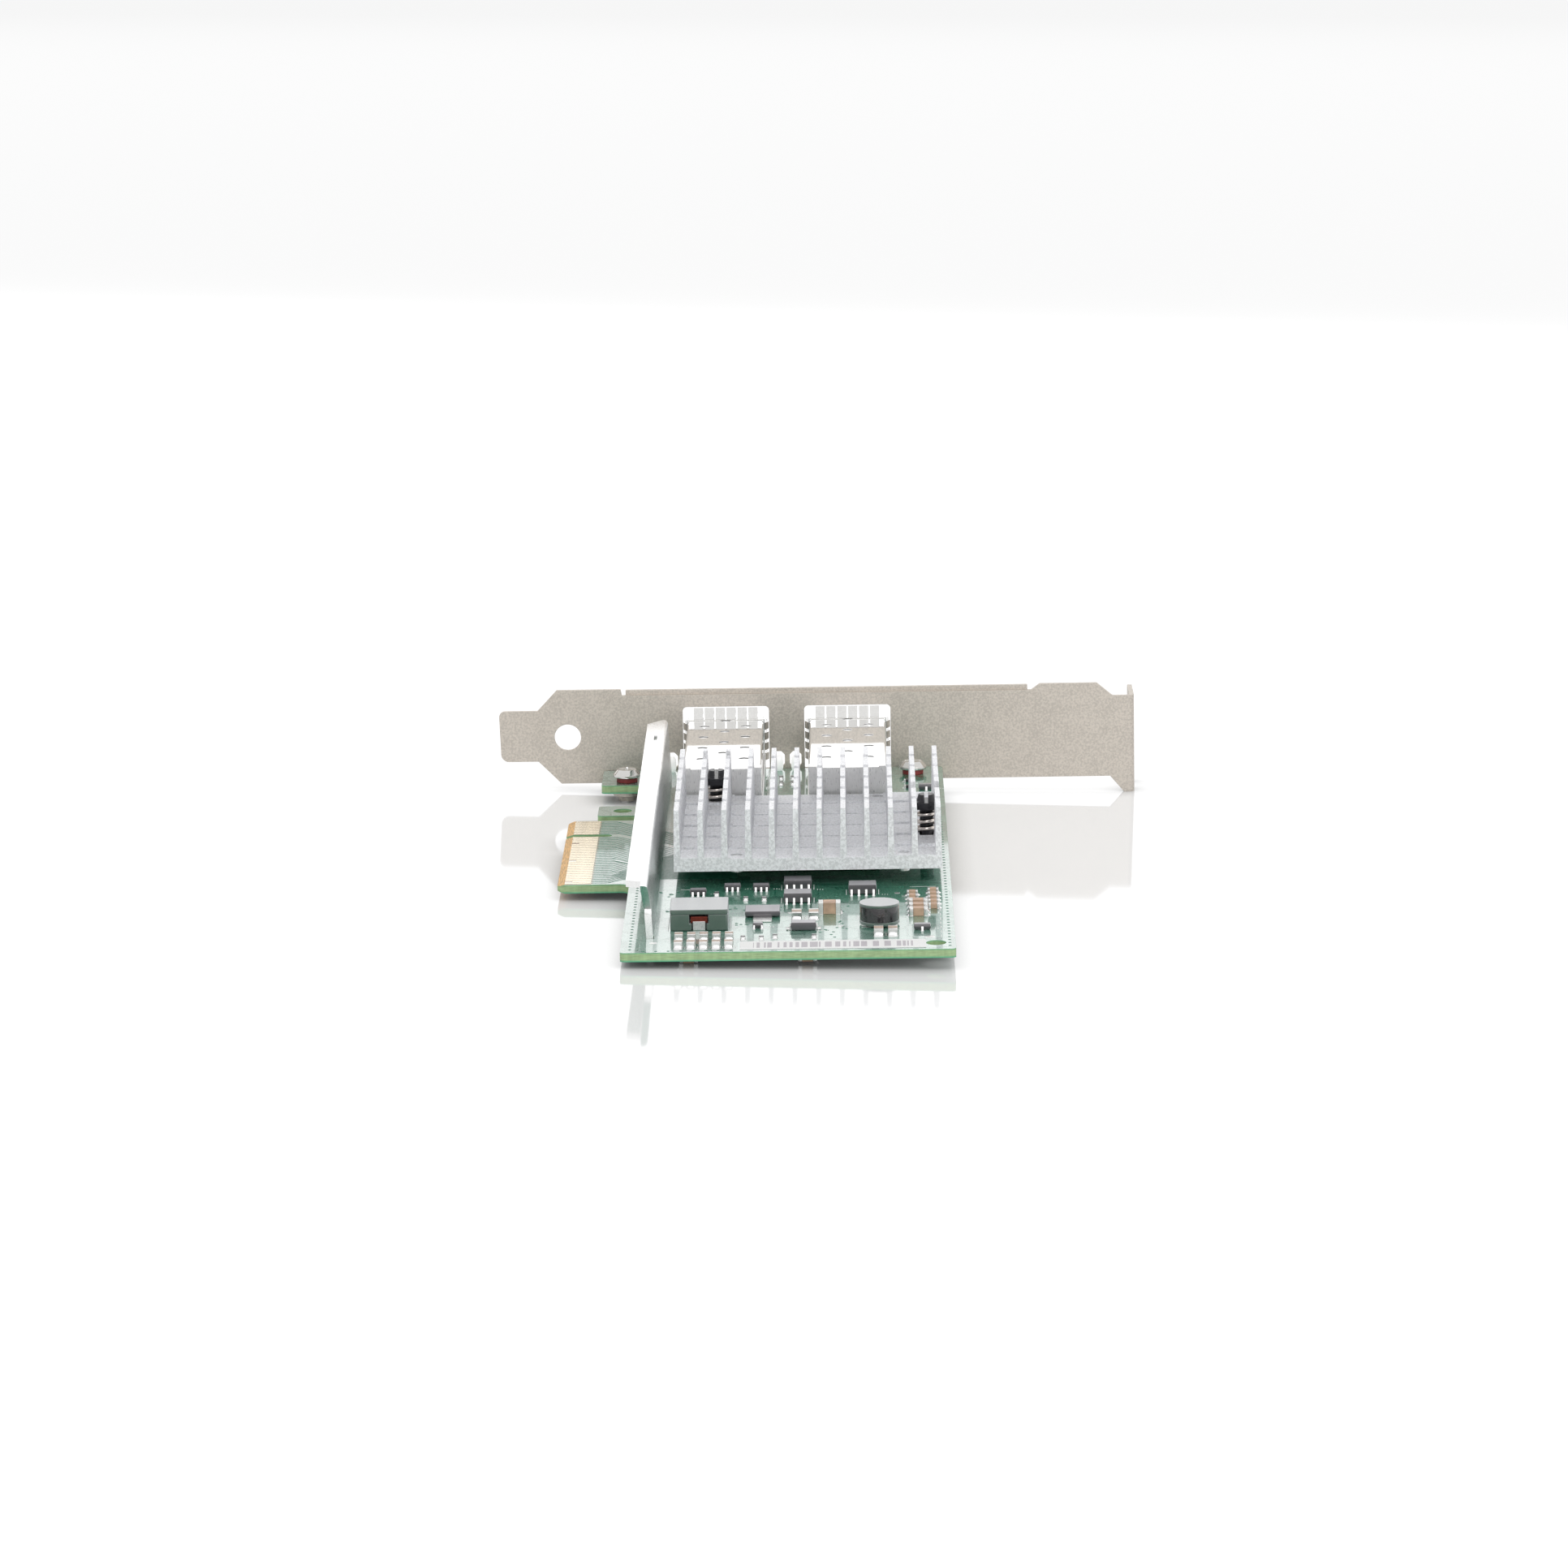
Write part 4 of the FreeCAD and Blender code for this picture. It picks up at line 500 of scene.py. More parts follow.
class Surfaces:
    """Grids and outlines gathered into the mesh of one piece."""

    def __init__(self, name):
        self.name = name
        self.points = []
        self.faces = []
        self.count = 0

    def grid(self, points, ends=False):
        """Quads over points of shape (rows, columns, 3), closed round the columns; ends caps both rows."""
        rows, columns = points.shape[:2]
        index = np.arange(rows * columns).reshape(rows, columns) + self.count
        across = np.roll(index, -1, axis=1)
        quads = np.stack([index[:-1], across[:-1], across[1:], index[1:]], axis=-1).reshape(-1, 4)
        self.faces += quads.tolist()
        if ends:
            self.faces.append(index[0][::-1].tolist())
            self.faces.append(index[-1].tolist())
        self.points.append(points.reshape(-1, 3))
        self.count += rows * columns

    def line(self, path, width, low, high):
        self.grid(strip(path, width, low, high), ends=True)

    def plate(self, x, y, low, high):
        """Closed rectangular plate as a strip along X."""
        middle = (y[0] + y[1]) / 2
        self.line([(x[0], middle), (x[1], middle)], y[1] - y[0], low, high)

    def piece(self, slot, finish, nodes=(), smooth=40):
        """Merges coincident points, turns the faces outwards and makes the object."""
        mesh = bpy.data.meshes.new(self.name)
        mesh.from_pydata(np.concatenate(self.points).tolist(), [], self.faces)
        work = bmesh.new()
        work.from_mesh(mesh)
        bmesh.ops.remove_doubles(work, verts=work.verts, dist=1e-7)
        bmesh.ops.recalc_face_normals(work, faces=work.faces)
        work.to_mesh(mesh)
        work.free()
        mesh.shade_smooth()
        mesh.set_sharp_from_angle(angle=math.radians(smooth))
        return finish_piece(bpy.data.objects.new(self.name, mesh), finish, nodes)


def merged(node):
    """A CAD node's mesh with its coincident points merged, as a bmesh."""
    work = bmesh.new()
    work.from_mesh(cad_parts[node].data)
    bmesh.ops.remove_doubles(work, verts=work.verts, dist=1e-6)
    return work


def dressed(name, node, slot, edge, finish=None, angle=28, segments=2):
    """A CAD node's own shape with rounded edges, standing for that node, in its slot's finish or another."""
    work = merged(node)
    bmesh.ops.dissolve_limit(
        work, angle_limit=math.radians(0.5), verts=work.verts, edges=work.edges, use_dissolve_boundaries=False
    )
    mesh = bpy.data.meshes.new(name)
    work.to_mesh(mesh)
    work.free()
    mesh.shade_smooth()
    made = bpy.data.objects.new(name, mesh)
    bevel = made.modifiers.new("Edges", "BEVEL")
    bevel.width = edge
    bevel.segments = segments
    bevel.limit_method = "ANGLE"
    bevel.angle_limit = math.radians(angle)
    flat = made.modifiers.new("Flat faces", "WEIGHTED_NORMAL")
    flat.weight = 100
    return finish_piece(made, finish or slot, [node])


def islands(node):
    """Lowest and highest corners of each separate solid in a node, as an array (solids, 2, 3)."""
    work = merged(node)
    left = set(work.verts)
    boxes = []
    while left:
        open_ends = [left.pop()]
        members = []
        while open_ends:
            vertex = open_ends.pop()
            members.append(vertex.co[:])
            for edge in vertex.link_edges:
                other = edge.other_vert(vertex)
                if other in left:
                    left.remove(other)
                    open_ends.append(other)
        members = np.array(members)
        boxes.append((members.min(0), members.max(0)))
    work.free()
    boxes = np.array(boxes)
    order = np.lexsort((boxes[:, 0, 2], boxes[:, 0, 1], boxes[:, 0, 0]))
    return boxes[order]


def tube(path, radius, sides=10):
    """Round tube along a path: each ring is radius times cos and sin of its angle on two normals of the path.

    The radius falls to nothing over the last two points at both ends, in a straight cone."""
    path = np.asarray(path)
    tangent = np.gradient(path, axis=0)
    tangent /= np.linalg.norm(tangent, axis=1, keepdims=True)
    side = np.cross(tangent, (0.0, 0.0, 1.0))
    side /= np.linalg.norm(side, axis=1, keepdims=True)
    above = np.cross(side, tangent)
    rims = np.full(len(path), radius)
    rims[[0, -1]] = 0.0
    angle = np.linspace(0, math.tau, sides, endpoint=False)
    ring = side[:, None] * np.cos(angle)[None, :, None] + above[:, None] * np.sin(angle)[None, :, None]
    return path[:, None] + ring * rims[:, None, None]


def turned(outline, sides=20):
    """Surface of revolution about the Z axis: each (radius, height) of the outline is swept round."""
    outline = np.asarray(outline)
    angle = np.linspace(0, math.tau, sides, endpoint=False)
    radius, height = outline[:, 0][:, None], outline[:, 1][:, None]
    return np.stack([radius * np.cos(angle), radius * np.sin(angle), height + 0 * angle], axis=-1)


def strip(path, width, low, high):
    """Flat strip along an XY path: a low trapezoid section, carried along and mitred at the corners."""
    foot, crown = 0.5, 0.38
    path = np.asarray(path, float)
    run = np.diff(path, axis=0)
    run /= np.linalg.norm(run, axis=1, keepdims=True)
    normal = np.stack([-run[:, 1], run[:, 0]], axis=1)
    mitre = np.concatenate([normal[:1], normal[:-1] + normal[1:], normal[-1:]])
    mitre /= np.sum(mitre * np.concatenate([normal[:1], normal]), axis=1, keepdims=True)
    offsets = np.array([-foot, -crown, crown, foot]) * width
    heights = np.array([low, high, high, low])
    flat = path[:, None] + mitre[:, None] * offsets[None, :, None]
    return np.concatenate([flat, np.broadcast_to(heights[None, :, None], (*flat.shape[:2], 1))], axis=-1)


def sizes():
    return bpy.context.scene.card_sizes


# ---------------- board
SUNK = 0.01 * MM             # how far raised copper reaches into the board, and ink into its mask
INK_SUNK = 0.005 * MM
TEST_PADS = (                # X, Y and radius of the bare round pads on the upper face, in millimetres
    (64.6, -82.6, 0.9), (59.4, -49.5, 0.55), (18.0, -84.5, 0.7), (65.0, -48.0, 0.6), (62.3, 24.0, 0.6),
    (39.6, 20.0, 0.6), (15.5, 12.0, 0.6), (41.0, -63.5, 0.5), (49.6, -74.0, 0.5),
)
VIA_CLUSTERS = (             # X and Y of the middles of the loose clusters of vias, in millimetres
    (20.5, -60), (26, -57), (31.5, -60), (38, -59.5), (47.5, -53), (49, -60), (57, -58), (60, -54), (20, -47),
    (63, -46), (36, 2), (47, 6), (14.5, 20), (15.5, 41), (61, 22), (64, 46), (39.5, 30), (50, -72),
    (31.8, -72), (48, -78),
)
CHIP_ENDS = (
    "power_capacitor_ends", "small_capacitor_ends", "output_capacitor_ends", "chip_resistor_ends",
    "solder_side_capacitor_ends",
)
LEADS = ("converter_leads", "regulator_leads", "transistor_leads")
FLIPPED = (1.0, 1.0, -1.0)   # turns a shape on the upper face into one on the lower


def paint_faces(piece, finish, chosen):
    """Gives another finish to the faces for which chosen is true."""
    piece.data.materials.append(material(finish))
    for face in piece.data.polygons:
        if chosen(face):
            face.material_index = len(piece.data.materials) - 1


def paint_between(piece, finish, low, high):
    """Gives another finish to the faces whose middles lie between two heights."""
    paint_faces(piece, finish, lambda face: low < face.center.z < high)


def dress_board():
    """The board, with its sawn edges and the slanted bevel at its contacts."""
    board = dressed("board", "circuit_board", "solder_mask", sizes().board_edge, angle=40)
    paint_faces(board, "laminate_edge", lambda face: abs(face.normal.z) < 0.5)
    paint_faces(board, "bevel_laminate", lambda face: 0.5 <= abs(face.normal.z) < 0.99)


def contact_traces(surfaces, width, high):
    """From each contact: straight out, then a slanted run towards the controller, then straight on."""
    pads = islands("edge_contacts")
    pads = pads[pads[:, 0, 2] > 0]
    chip_low, chip_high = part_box("controller_substrate")
    start = pads[:, 1, 0].max() - 0.2 * MM
    middles = pads[:, :, 1].mean(axis=1)
    ends = np.interp(middles, (middles.min(), middles.max()), (chip_low.y - 6 * MM, chip_high.y - 1 * MM))
    straight, stagger = 3.2 * MM, 0.10 * MM
    for number, (y, goal) in enumerate(zip(middles, ends)):
        turn = start + straight + stagger * (number % 9)
        run = turn + abs(goal - y)
        path = [(start, y), (turn, y), (run, goal), (max(run + 1 * MM, chip_low.x), goal)]
        surfaces.line(path, width, TOP - SUNK, high)


def port_traces(surfaces, width, high):
    """Pairs from each host connector to the near side of the controller."""
    chip_low, chip_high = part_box("controller_substrate")
    chip_side = chip_high.y - 1 * MM
    socket_pitch, chip_pitch, lane, stagger = 1.6 * MM, 0.9 * MM, 0.2 * MM, 0.35 * MM
    for letter, side in (("a", -1), ("b", 1)):
        low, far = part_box("host_socket_" + letter)
        middle = (low.x + far.x) / 2
        goal = (chip_low.x + chip_high.x) / 2 + side * 5 * MM
        for pair in range(-3, 4):
            for shift in (-lane, lane):
                start = middle + pair * socket_pitch + shift
                end = goal + pair * chip_pitch + shift
                turn = low.y - 1.0 * MM - stagger * abs(pair)
                bend = turn - abs(end - start)
                if bend >= chip_side:
                    surfaces.line([(start, low.y), (start, turn), (end, bend), (end, chip_side)],
                                  width, TOP - SUNK, high)


def make_traces():
    high = TOP + sizes().trace_height
    surfaces = Surfaces("signal_traces")
    contact_traces(surfaces, sizes().trace_width, high)
    port_traces(surfaces, sizes().trace_width, high)
    surfaces.piece("solder_mask", "raised_trace")


def via_rows():
    """XY of the ground vias: along both long edges, along the front, and in loose clusters."""
    step, inset, spread, in_cluster = 2.1 * MM, 1.0 * MM, 1.5 * MM, 7
    first, right_end, left_end = FRONT + 2.4 * MM, 52 * MM, -41 * MM
    rows = [np.stack(np.broadcast_arrays(x, y), axis=1) for x, y in (
        (FAR_EDGE - inset, np.arange(first, right_end, step)),
        (14.2 * MM, np.arange(first, left_end, step)),
        (np.arange(16.5 * MM, 32 * MM, step), FRONT + inset),
    )]
    seeds = np.array(VIA_CLUSTERS)[:, None] * MM
    draw = np.random.default_rng(7)
    loose = seeds + draw.normal(0, spread, (len(seeds), in_cluster, 2))
    return np.concatenate([*rows, loose.reshape(-1, 2)])


def make_vias():
    """Tented vias: a low ring round a dimple, on both faces of the board."""
    outer, hole = sizes().via_radius, sizes().via_hole
    rise, dip = 0.03 * MM, -0.02 * MM
    ring = turned([(0, dip), (hole, dip), (1.3 * hole, rise), (0.85 * outer, rise), (outer, dip)], sides=12)
    surfaces = Surfaces("vias")
    for x, y in via_rows():
        surfaces.grid(ring + (x, y, TOP))
        surfaces.grid(ring * FLIPPED + (x, y, UNDER))
    surfaces.piece("solder_mask", "raised_trace")


def legend_marks(surfaces, x, y, ink):
    """A short row of plain strokes beside a part, of heights drawn from a seed that its place gives."""
    draw = np.random.default_rng(int(round((x * 7919 + y * 104729) * 1e3)) % 9973)
    step, stroke = 0.45 * MM, 0.16 * MM
    for left in x + np.arange(3) * step:
        tall = draw.choice([0.35, 0.55, 0.75]) * MM
        surfaces.plate((left, left + stroke), (y, y + tall), TOP - INK_SUNK, ink)


def make_legend():
    """White legend: lines beside the packages, corners of the heatsink, dashes and plain strokes."""
    ink = TOP + sizes().ink_height
    package_gap, chip_gap, cage_gap = 0.35 * MM, 0.45 * MM, 0.9 * MM
    surfaces = Surfaces("legend")
    lines = []
    for node in ("converter_bodies", "inductor_core", "diode_body"):
        for low, high in islands(node):
            lines += [[(x, low[1]), (x, high[1])] for x in (low[0] - package_gap, high[0] + package_gap)]
            legend_marks(surfaces, high[0] + 0.9 * MM, low[1] - 0.2 * MM, ink)
    for node in ("regulator_bodies", "transistor_bodies"):
        for low, high in islands(node):
            legend_marks(surfaces, high[0] + 0.7 * MM, high[1] - 0.4 * MM, ink)
    sink_low, sink_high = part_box("heatsink")
    corner_line = 4.5 * MM
    for x, out in ((sink_low.x, -1), (sink_high.x, 1)):
        for y, along in ((sink_low.y, 1), (sink_high.y, -1)):
            corner_x, corner_y = x - out * 1.2 * MM, y - along * 0.9 * MM
            lines.append([(corner_x - out * corner_line, corner_y), (corner_x, corner_y)])
    dash_x, dash = 66.6 * MM, 1.9 * MM
    lines += [[(dash_x, y), (dash_x, y + dash)] for y in np.arange(-83.2, -58.5, 3.2) * MM]
    for letter in ("a", "b"):
        low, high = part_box("cage_cover_" + letter)
        for x in (low.x - cage_gap, high.x + cage_gap):
            lines.append([(x, low.y), (x, BOARD_HIGH[1] - 1.2 * MM)])
    for node in ("output_capacitor_bodies", "small_capacitor_bodies", "power_capacitor_bodies"):
        lines += [[(high[0] + chip_gap, y) for y in (low[1], high[1])] for low, high in islands(node)[::2]]
    for path in lines:
        surfaces.line(path, sizes().ink_width, TOP - INK_SUNK, ink)
    surfaces.piece("label_paper", "legend_ink")


def make_pads():
    """Tinned pads: lands under the chip ends and leads, and round test pads."""
    surfaces = Surfaces("tinned_pads")
    low, high = TOP - SUNK, TOP + 0.03 * MM
    for x, y, radius in np.array(TEST_PADS) * MM:
        disc = turned([(0, low), (radius, low), (0.94 * radius, high), (0, high)], sides=20)
        surfaces.grid(disc + (x, y, 0))
    for nodes, margin_x, margin_y in ((CHIP_ENDS, 0.06 * MM, 0.28 * MM), (LEADS, 0.08 * MM, 0.2 * MM)):
        for corner, opposite in np.concatenate([islands(node) for node in nodes]):
            if corner[2] > 0:
                x = (corner[0] - margin_x, opposite[0] + margin_x)
                y = (corner[1] - margin_y, opposite[1] + margin_y)
                surfaces.plate(x, y, low, high)
    surfaces.piece("tinned", "tinned")


def fillet(half, reach, rise, columns=14, rows=6):
    """Solder fillet standing on the XY plane in front of a face at Y zero, spreading towards -Y.

    With v from 0 at the foot to 1 at the top, each level is half an ellipse: its half width is
    half times the root of 1 - 0.75 v squared, its reach falls as the square of 1 - v, and its
    height is rise times v. The back of each level is straight, against the face."""
    level = np.linspace(0, 1, rows)[:, None]
    angle = np.linspace(0, math.tau, columns, endpoint=False)[None, :]
    across = half * np.sqrt(1 - 0.75 * level**2) * np.cos(angle)
    out = -reach * (1 - level) ** 2 * np.maximum(0, np.sin(angle))
    height = rise * level + 0 * angle
    return np.stack([across, out, height], axis=-1)


def turned_to(points, direction):
    """Turns points in the XY plane so that -Y points along direction, one of the four axes."""
    x, y, z = points[..., 0], points[..., 1], points[..., 2]
    along_x, along_y = direction
    return np.stack([-y * along_x - x * along_y, -y * along_y + x * along_x, z], axis=-1)


def from_body(middle, bodies):
    """How far a point lies from the middle of the nearest body."""
    apart = middle - bodies.mean(axis=1)
    return apart[np.argmin(np.linalg.norm(apart, axis=1))]


def chip_fillets(surfaces, ends, bodies, reach, share):
    """A fillet on the outer face of every metal end."""
    for low, high in ends:
        middle = (low + high) / 2
        away = from_body(middle, bodies)[:2]
        axis = int(np.argmax(np.abs(away)))
        direction = np.zeros(2)
        direction[axis] = np.sign(away[axis])
        half = (high[1 - axis] - low[1 - axis]) / 2
        longest = 1.4 * half
        shape = turned_to(fillet(half, min(reach, longest), share * (high[2] - low[2])), direction)
        foot = middle.copy()
        foot[axis] = (high if direction[axis] > 0 else low)[axis]
        foot[2] = TOP
        if middle[2] < 0:
            foot[2] = UNDER
            shape = shape * FLIPPED
        surfaces.grid(shape + foot, ends=True)


def lead_fillets(surfaces, leads, bodies):
    """A small fillet at the toe of every gull-wing lead."""
    reach, rise, margin = 0.3 * MM, 0.24 * MM, 0.05 * MM
    for low, high in leads:
        middle = (low + high) / 2
        outward = np.sign(from_body(middle, bodies)[1])
        half = (high[0] - low[0]) / 2 + margin
        shape = turned_to(fillet(half, reach, rise, columns=10, rows=4), (0.0, outward))
        surfaces.grid(shape + (middle[0], (high if outward > 0 else low)[1], TOP), ends=True)


def make_solder():
    surfaces = Surfaces("solder_fillets")
    reach, share = sizes().fillet_reach, sizes().fillet_rise
    for node in CHIP_ENDS:
        chip_fillets(surfaces, islands(node), islands(node.replace("_ends", "_bodies")), reach, share)
    for node in LEADS:
        lead_fillets(surfaces, islands(node), islands(node.replace("_leads", "_bodies")))
    surfaces.piece("solder", "solder")


def make_balls():
    """Collapsed solder balls: barrels whose radius follows the root of a parabola in their height.

    At a share s of a ball's height the radius is 0.62 times the height times the root of
    0.32 + 2.72 s (1 - s)."""
    surfaces = Surfaces("solder_balls")
    for low, high in islands("controller_balls"):
        middle = (low + high) / 2
        tall = high[2] - low[2]
        share = np.linspace(0, 1, 7)
        radius = 0.62 * tall * np.sqrt(0.32 + 2.72 * share * (1 - share))
        outline = np.stack([radius, low[2] + share * tall], axis=1)
        surfaces.grid(turned(outline, sides=12) + (middle[0], middle[1], 0), ends=True)
    surfaces.piece("solder", "solder", ["controller_balls"])


# ---------------- fixings and springs
def make_pin_springs():
    """Round-wire compression springs: helix of constant radius whose pitch closes at both ends."""
    wire, pitch = sizes().coil_wire, sizes().coil_pitch
    closing = 0.35
    surfaces = Surfaces("pin_coils")
    for low, high in islands("pin_springs"):
        middle = (low + high) / 2
        radius = (high[0] - low[0]) / 2 - wire / 2
        turns = (high[2] - low[2]) / pitch
        share = np.linspace(0, 1, 150)
        eased = share - closing / math.tau * np.sin(math.tau * share)
        angle = share * turns * math.tau
        height = low[2] + wire / 2 + eased * (high[2] - low[2] - wire)
        x, y = middle[0] + radius * np.cos(angle), middle[1] + radius * np.sin(angle)
        surfaces.grid(tube(np.stack([x, y, height], axis=1), wire / 2))
    surfaces.piece("coil_steel", "coil_steel", ["pin_springs"])


def make_drum_winding():
    """Layers of round wire on the drum: each turn is a ring, staggered by half a pitch between layers."""
    wire = sizes().magnet_wire
    low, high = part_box("drum_winding")
    middle = (low + high) / 2
    outer = (high.x - low.x) / 2 - wire / 2
    surfaces = Surfaces("drum_wire")
    angle = np.linspace(0, math.tau, 48, endpoint=False)[:, None]
    section = np.linspace(0, math.tau, 8, endpoint=False)
    count = int((high.z - low.z) / wire)
    layers, nesting = 2, 0.87
    for layer in range(layers):
        radius = outer - layer * nesting * wire
        for turn in range(count - layer):
            height = low.z + wire * (turn + 0.5 + 0.5 * layer) + wire / 2 * np.sin(section)
            rim = radius + wire / 2 * np.cos(section)
            x, y = middle.x + rim * np.cos(angle), middle.y + rim * np.sin(angle)
            ring = np.stack([x, y, height + 0 * x], axis=-1)
            surfaces.grid(np.concatenate([ring, ring[:1]]))
    core = turned([(0, low.z), (outer - wire, low.z), (outer - wire, high.z), (0, high.z)], sides=48)
    surfaces.grid(core + (middle.x, middle.y, 0))
    surfaces.piece("enamelled_wire", "enamelled_wire", ["drum_winding"], smooth=60)


def make_indicators():
    """Moulded indicators: oval barrels along Y with a domed rear end, closed by a flat lens in front.

    Each section is the superellipse whose X and Z follow cos and sin to the power 0.7, and the
    rear end shrinks as a quarter circle."""
    surfaces = Surfaces("indicators")
    power, dome, lens = 0.7, 0.8 * MM, 0.9
    angle = np.linspace(0, math.tau, 28, endpoint=False)
    across = np.sign(np.cos(angle)) * np.abs(np.cos(angle)) ** power
    upright = np.sign(np.sin(angle)) * np.abs(np.sin(angle)) ** power
    turn = np.linspace(0.25, math.pi / 2, 6)
    grow = np.append(np.sin(turn), lens)[:, None]
    for low, high in islands("indicator_leds"):
        middle, half = (low + high) / 2, (high - low) / 2
        along = np.append(low[1] + dome * (1 - np.cos(turn)), high[1])[:, None]
        x, z = middle[0] + half[0] * grow * across, middle[2] + half[2] * grow * upright
        surfaces.grid(np.stack([x, along + 0 * x, z], axis=-1), ends=True)
    surfaces.piece("clear_resin", "clear_resin", ["indicator_leds"])


def make_threads():
    """The last thread of each screw below its collar: a ring with a V section."""
    surfaces = Surfaces("screw_threads")
    pitch, core, crest = 0.5 * MM, 1.12 * MM, 1.24 * MM
    for low, high in islands("bracket_screws"):
        middle = (low + high) / 2
        foot, top = low[2] + 0.02 * MM, low[2] + pitch
        outline = [(0.0, foot), (core, foot), (crest, low[2] + 0.5 * pitch), (core, top), (0.0, top)]
        surfaces.grid(turned(outline, sides=24) + (middle[0], middle[1], 0))
    surfaces.piece("screw_steel", "screw_steel")


# ---------------- stage
WHITE = (1.0, 1.0, 1.0)
CARD_MIDDLE = (0.04, -0.02, 0)


def aimed(name, place, size, watts):
    """Rectangular lamp that faces the middle of the card."""
    lamp = bpy.data.lights.new(name, "AREA")
    lamp.shape = "RECTANGLE"
    lamp.size, lamp.size_y = size
    lamp.energy = watts
    made = bpy.data.objects.new(name, lamp)
    made.location = place
    made.rotation_euler = (Vector(CARD_MIDDLE) - Vector(place)).to_track_quat("-Z", "Y").to_euler()
    bpy.context.scene.collection.objects.link(made)


def seen_rays(graph):
    """1 for rays from the camera and for rays that metal or glass sends on, else 0."""
    rays = graph.node("LightPath").outputs
    seen = graph.math("MAXIMUM", rays["Is Camera Ray"], rays["Is Glossy Ray"])
    return graph.math("MAXIMUM", seen, rays["Is Transmission Ray"])


def make_world(sky):
    """Even light from all round, which the camera and the metals see as white."""
    world = bpy.data.worlds.new("soft_room")
    world.use_nodes = True
    bpy.context.scene.world = world
    graph = Graph(world.node_tree)
    graph.tree.nodes.clear()
    lit, seen = (graph.made("Background", {"Color": WHITE, "Strength": strength}) for strength in (sky, 1.0))
    graph.end("OutputWorld", graph.blend(seen_rays(graph), lit, seen))


def floor_finish():
    """White gloss floor: seen at white where nothing stands on it, with a soft mirror image and shadow, and a
    painted contact shadow where its glow fades near things.
    """
    made = bpy.data.materials.new("gloss_floor")
    made.use_nodes = True
    graph = Graph(made.node_tree)
    graph.tree.nodes.clear()
    matt = graph.made("BsdfDiffuse", {"Color": (0.86, 0.86, 0.86)})
    # Painted contact shadow: ambient occlusion dims the floor's glow close to the card.
    shadow_reach, shadow_depth, full_glow = 0.006, 1.1, 1.12
    near = graph.made("AmbientOcclusion", {"Distance": shadow_reach}, "AO", samples=8)
    level = graph.times(graph.math("POWER", near, shadow_depth), full_glow)
    glow = graph.made("Emission", {"Strength": level})
    mirror = graph.made("BsdfGlossy", {"Roughness": 0.06})
    glow_share, mirror_share = 0.72, 0.34
    glossy = graph.blend(mirror_share, graph.blend(glow_share, matt, glow), mirror)
    graph.end("OutputMaterial", graph.blend(seen_rays(graph), matt, glossy))
    return made


def make_floor(stage):
    """Plane through the three points that the card rests on, far wider than the view."""
    height, slope_x, slope_y = stage.floor_rise
    reach = 2.4
    corners = [(x, y, height + slope_x * x + slope_y * y) for x, y in
               ((-reach, -reach), (reach, -reach), (reach, reach), (-reach, reach))]
    mesh = bpy.data.meshes.new("floor")
    mesh.from_pydata(corners, [], [(0, 1, 2, 3)])
    mesh.materials.append(floor_finish())
    floor = bpy.data.objects.new("floor", mesh)
    bpy.context.scene.collection.objects.link(floor)


def make_camera(stage):
    camera = bpy.data.cameras.new("camera")
    camera.lens = stage.camera_lens
    camera.sensor_width = 36.0
    camera.clip_start = 0.01
    made = bpy.data.objects.new("camera", camera)
    yaw, pitch, roll = stage.camera_yaw, stage.camera_pitch, stage.camera_roll
    forward = Vector((math.sin(yaw) * math.cos(pitch), math.cos(yaw) * math.cos(pitch), -math.sin(pitch)))
    right = Vector((math.cos(yaw), -math.sin(yaw), 0.0))
    down = forward.cross(right)
    across = math.cos(roll) * right + math.sin(roll) * down
    below = -math.sin(roll) * right + math.cos(roll) * down
    turn = Matrix((across, -below, -forward)).transposed()
    made.matrix_world = Matrix.Translation(stage.camera_place) @ turn.to_4x4()
    bpy.context.scene.collection.objects.link(made)
    bpy.context.scene.camera = made


# ---------------- operators
class CARD_OT_stage(bpy.types.Operator):
    """Makes the floor, the light and the camera"""

    bl_idname = "card.stage"
    bl_label = "Stage"

    def execute(self, context):
        stage = context.scene.card_stage
        make_world(stage.sky)
        make_floor(stage)
        make_camera(stage)
        aimed("key_lamp", place=(0.55, -1.6, 1.05), size=(1.8, 1.1), watts=stage.key)
        aimed("back_lamp", place=(0.05, 1.5, 0.62), size=(2.6, 1.1), watts=stage.back)
        context.scene.view_settings.view_transform = "Standard"
        return {"FINISHED"}


class CARD_OT_board(bpy.types.Operator):
    """Dresses the board and its contacts, and adds traces, vias, pads and legend"""

    bl_idname = "card.board"
    bl_label = "Board"

    def execute(self, context):
        dress_board()
        dressed("contacts", "edge_contacts", "gold_plating", 0.02 * MM, segments=1)
        make_traces()
        make_vias()
        make_pads()
        make_legend()
        return {"FINISHED"}


class CARD_OT_bracket(bpy.types.Operator):
    """Dresses the bracket, its screws and their washers"""

    bl_idname = "card.bracket"
    bl_label = "Bracket"

    def execute(self, context):
        dressed("bracket_sheet", "bracket", "bracket_steel", sizes().sheet_edge)
        dressed("pan_screws", "bracket_screws", "screw_steel", 0.06 * MM)
        dressed("fibre_washers", "screw_washers", "red_fibre", 0.08 * MM)
        make_threads()
        return {"FINISHED"}


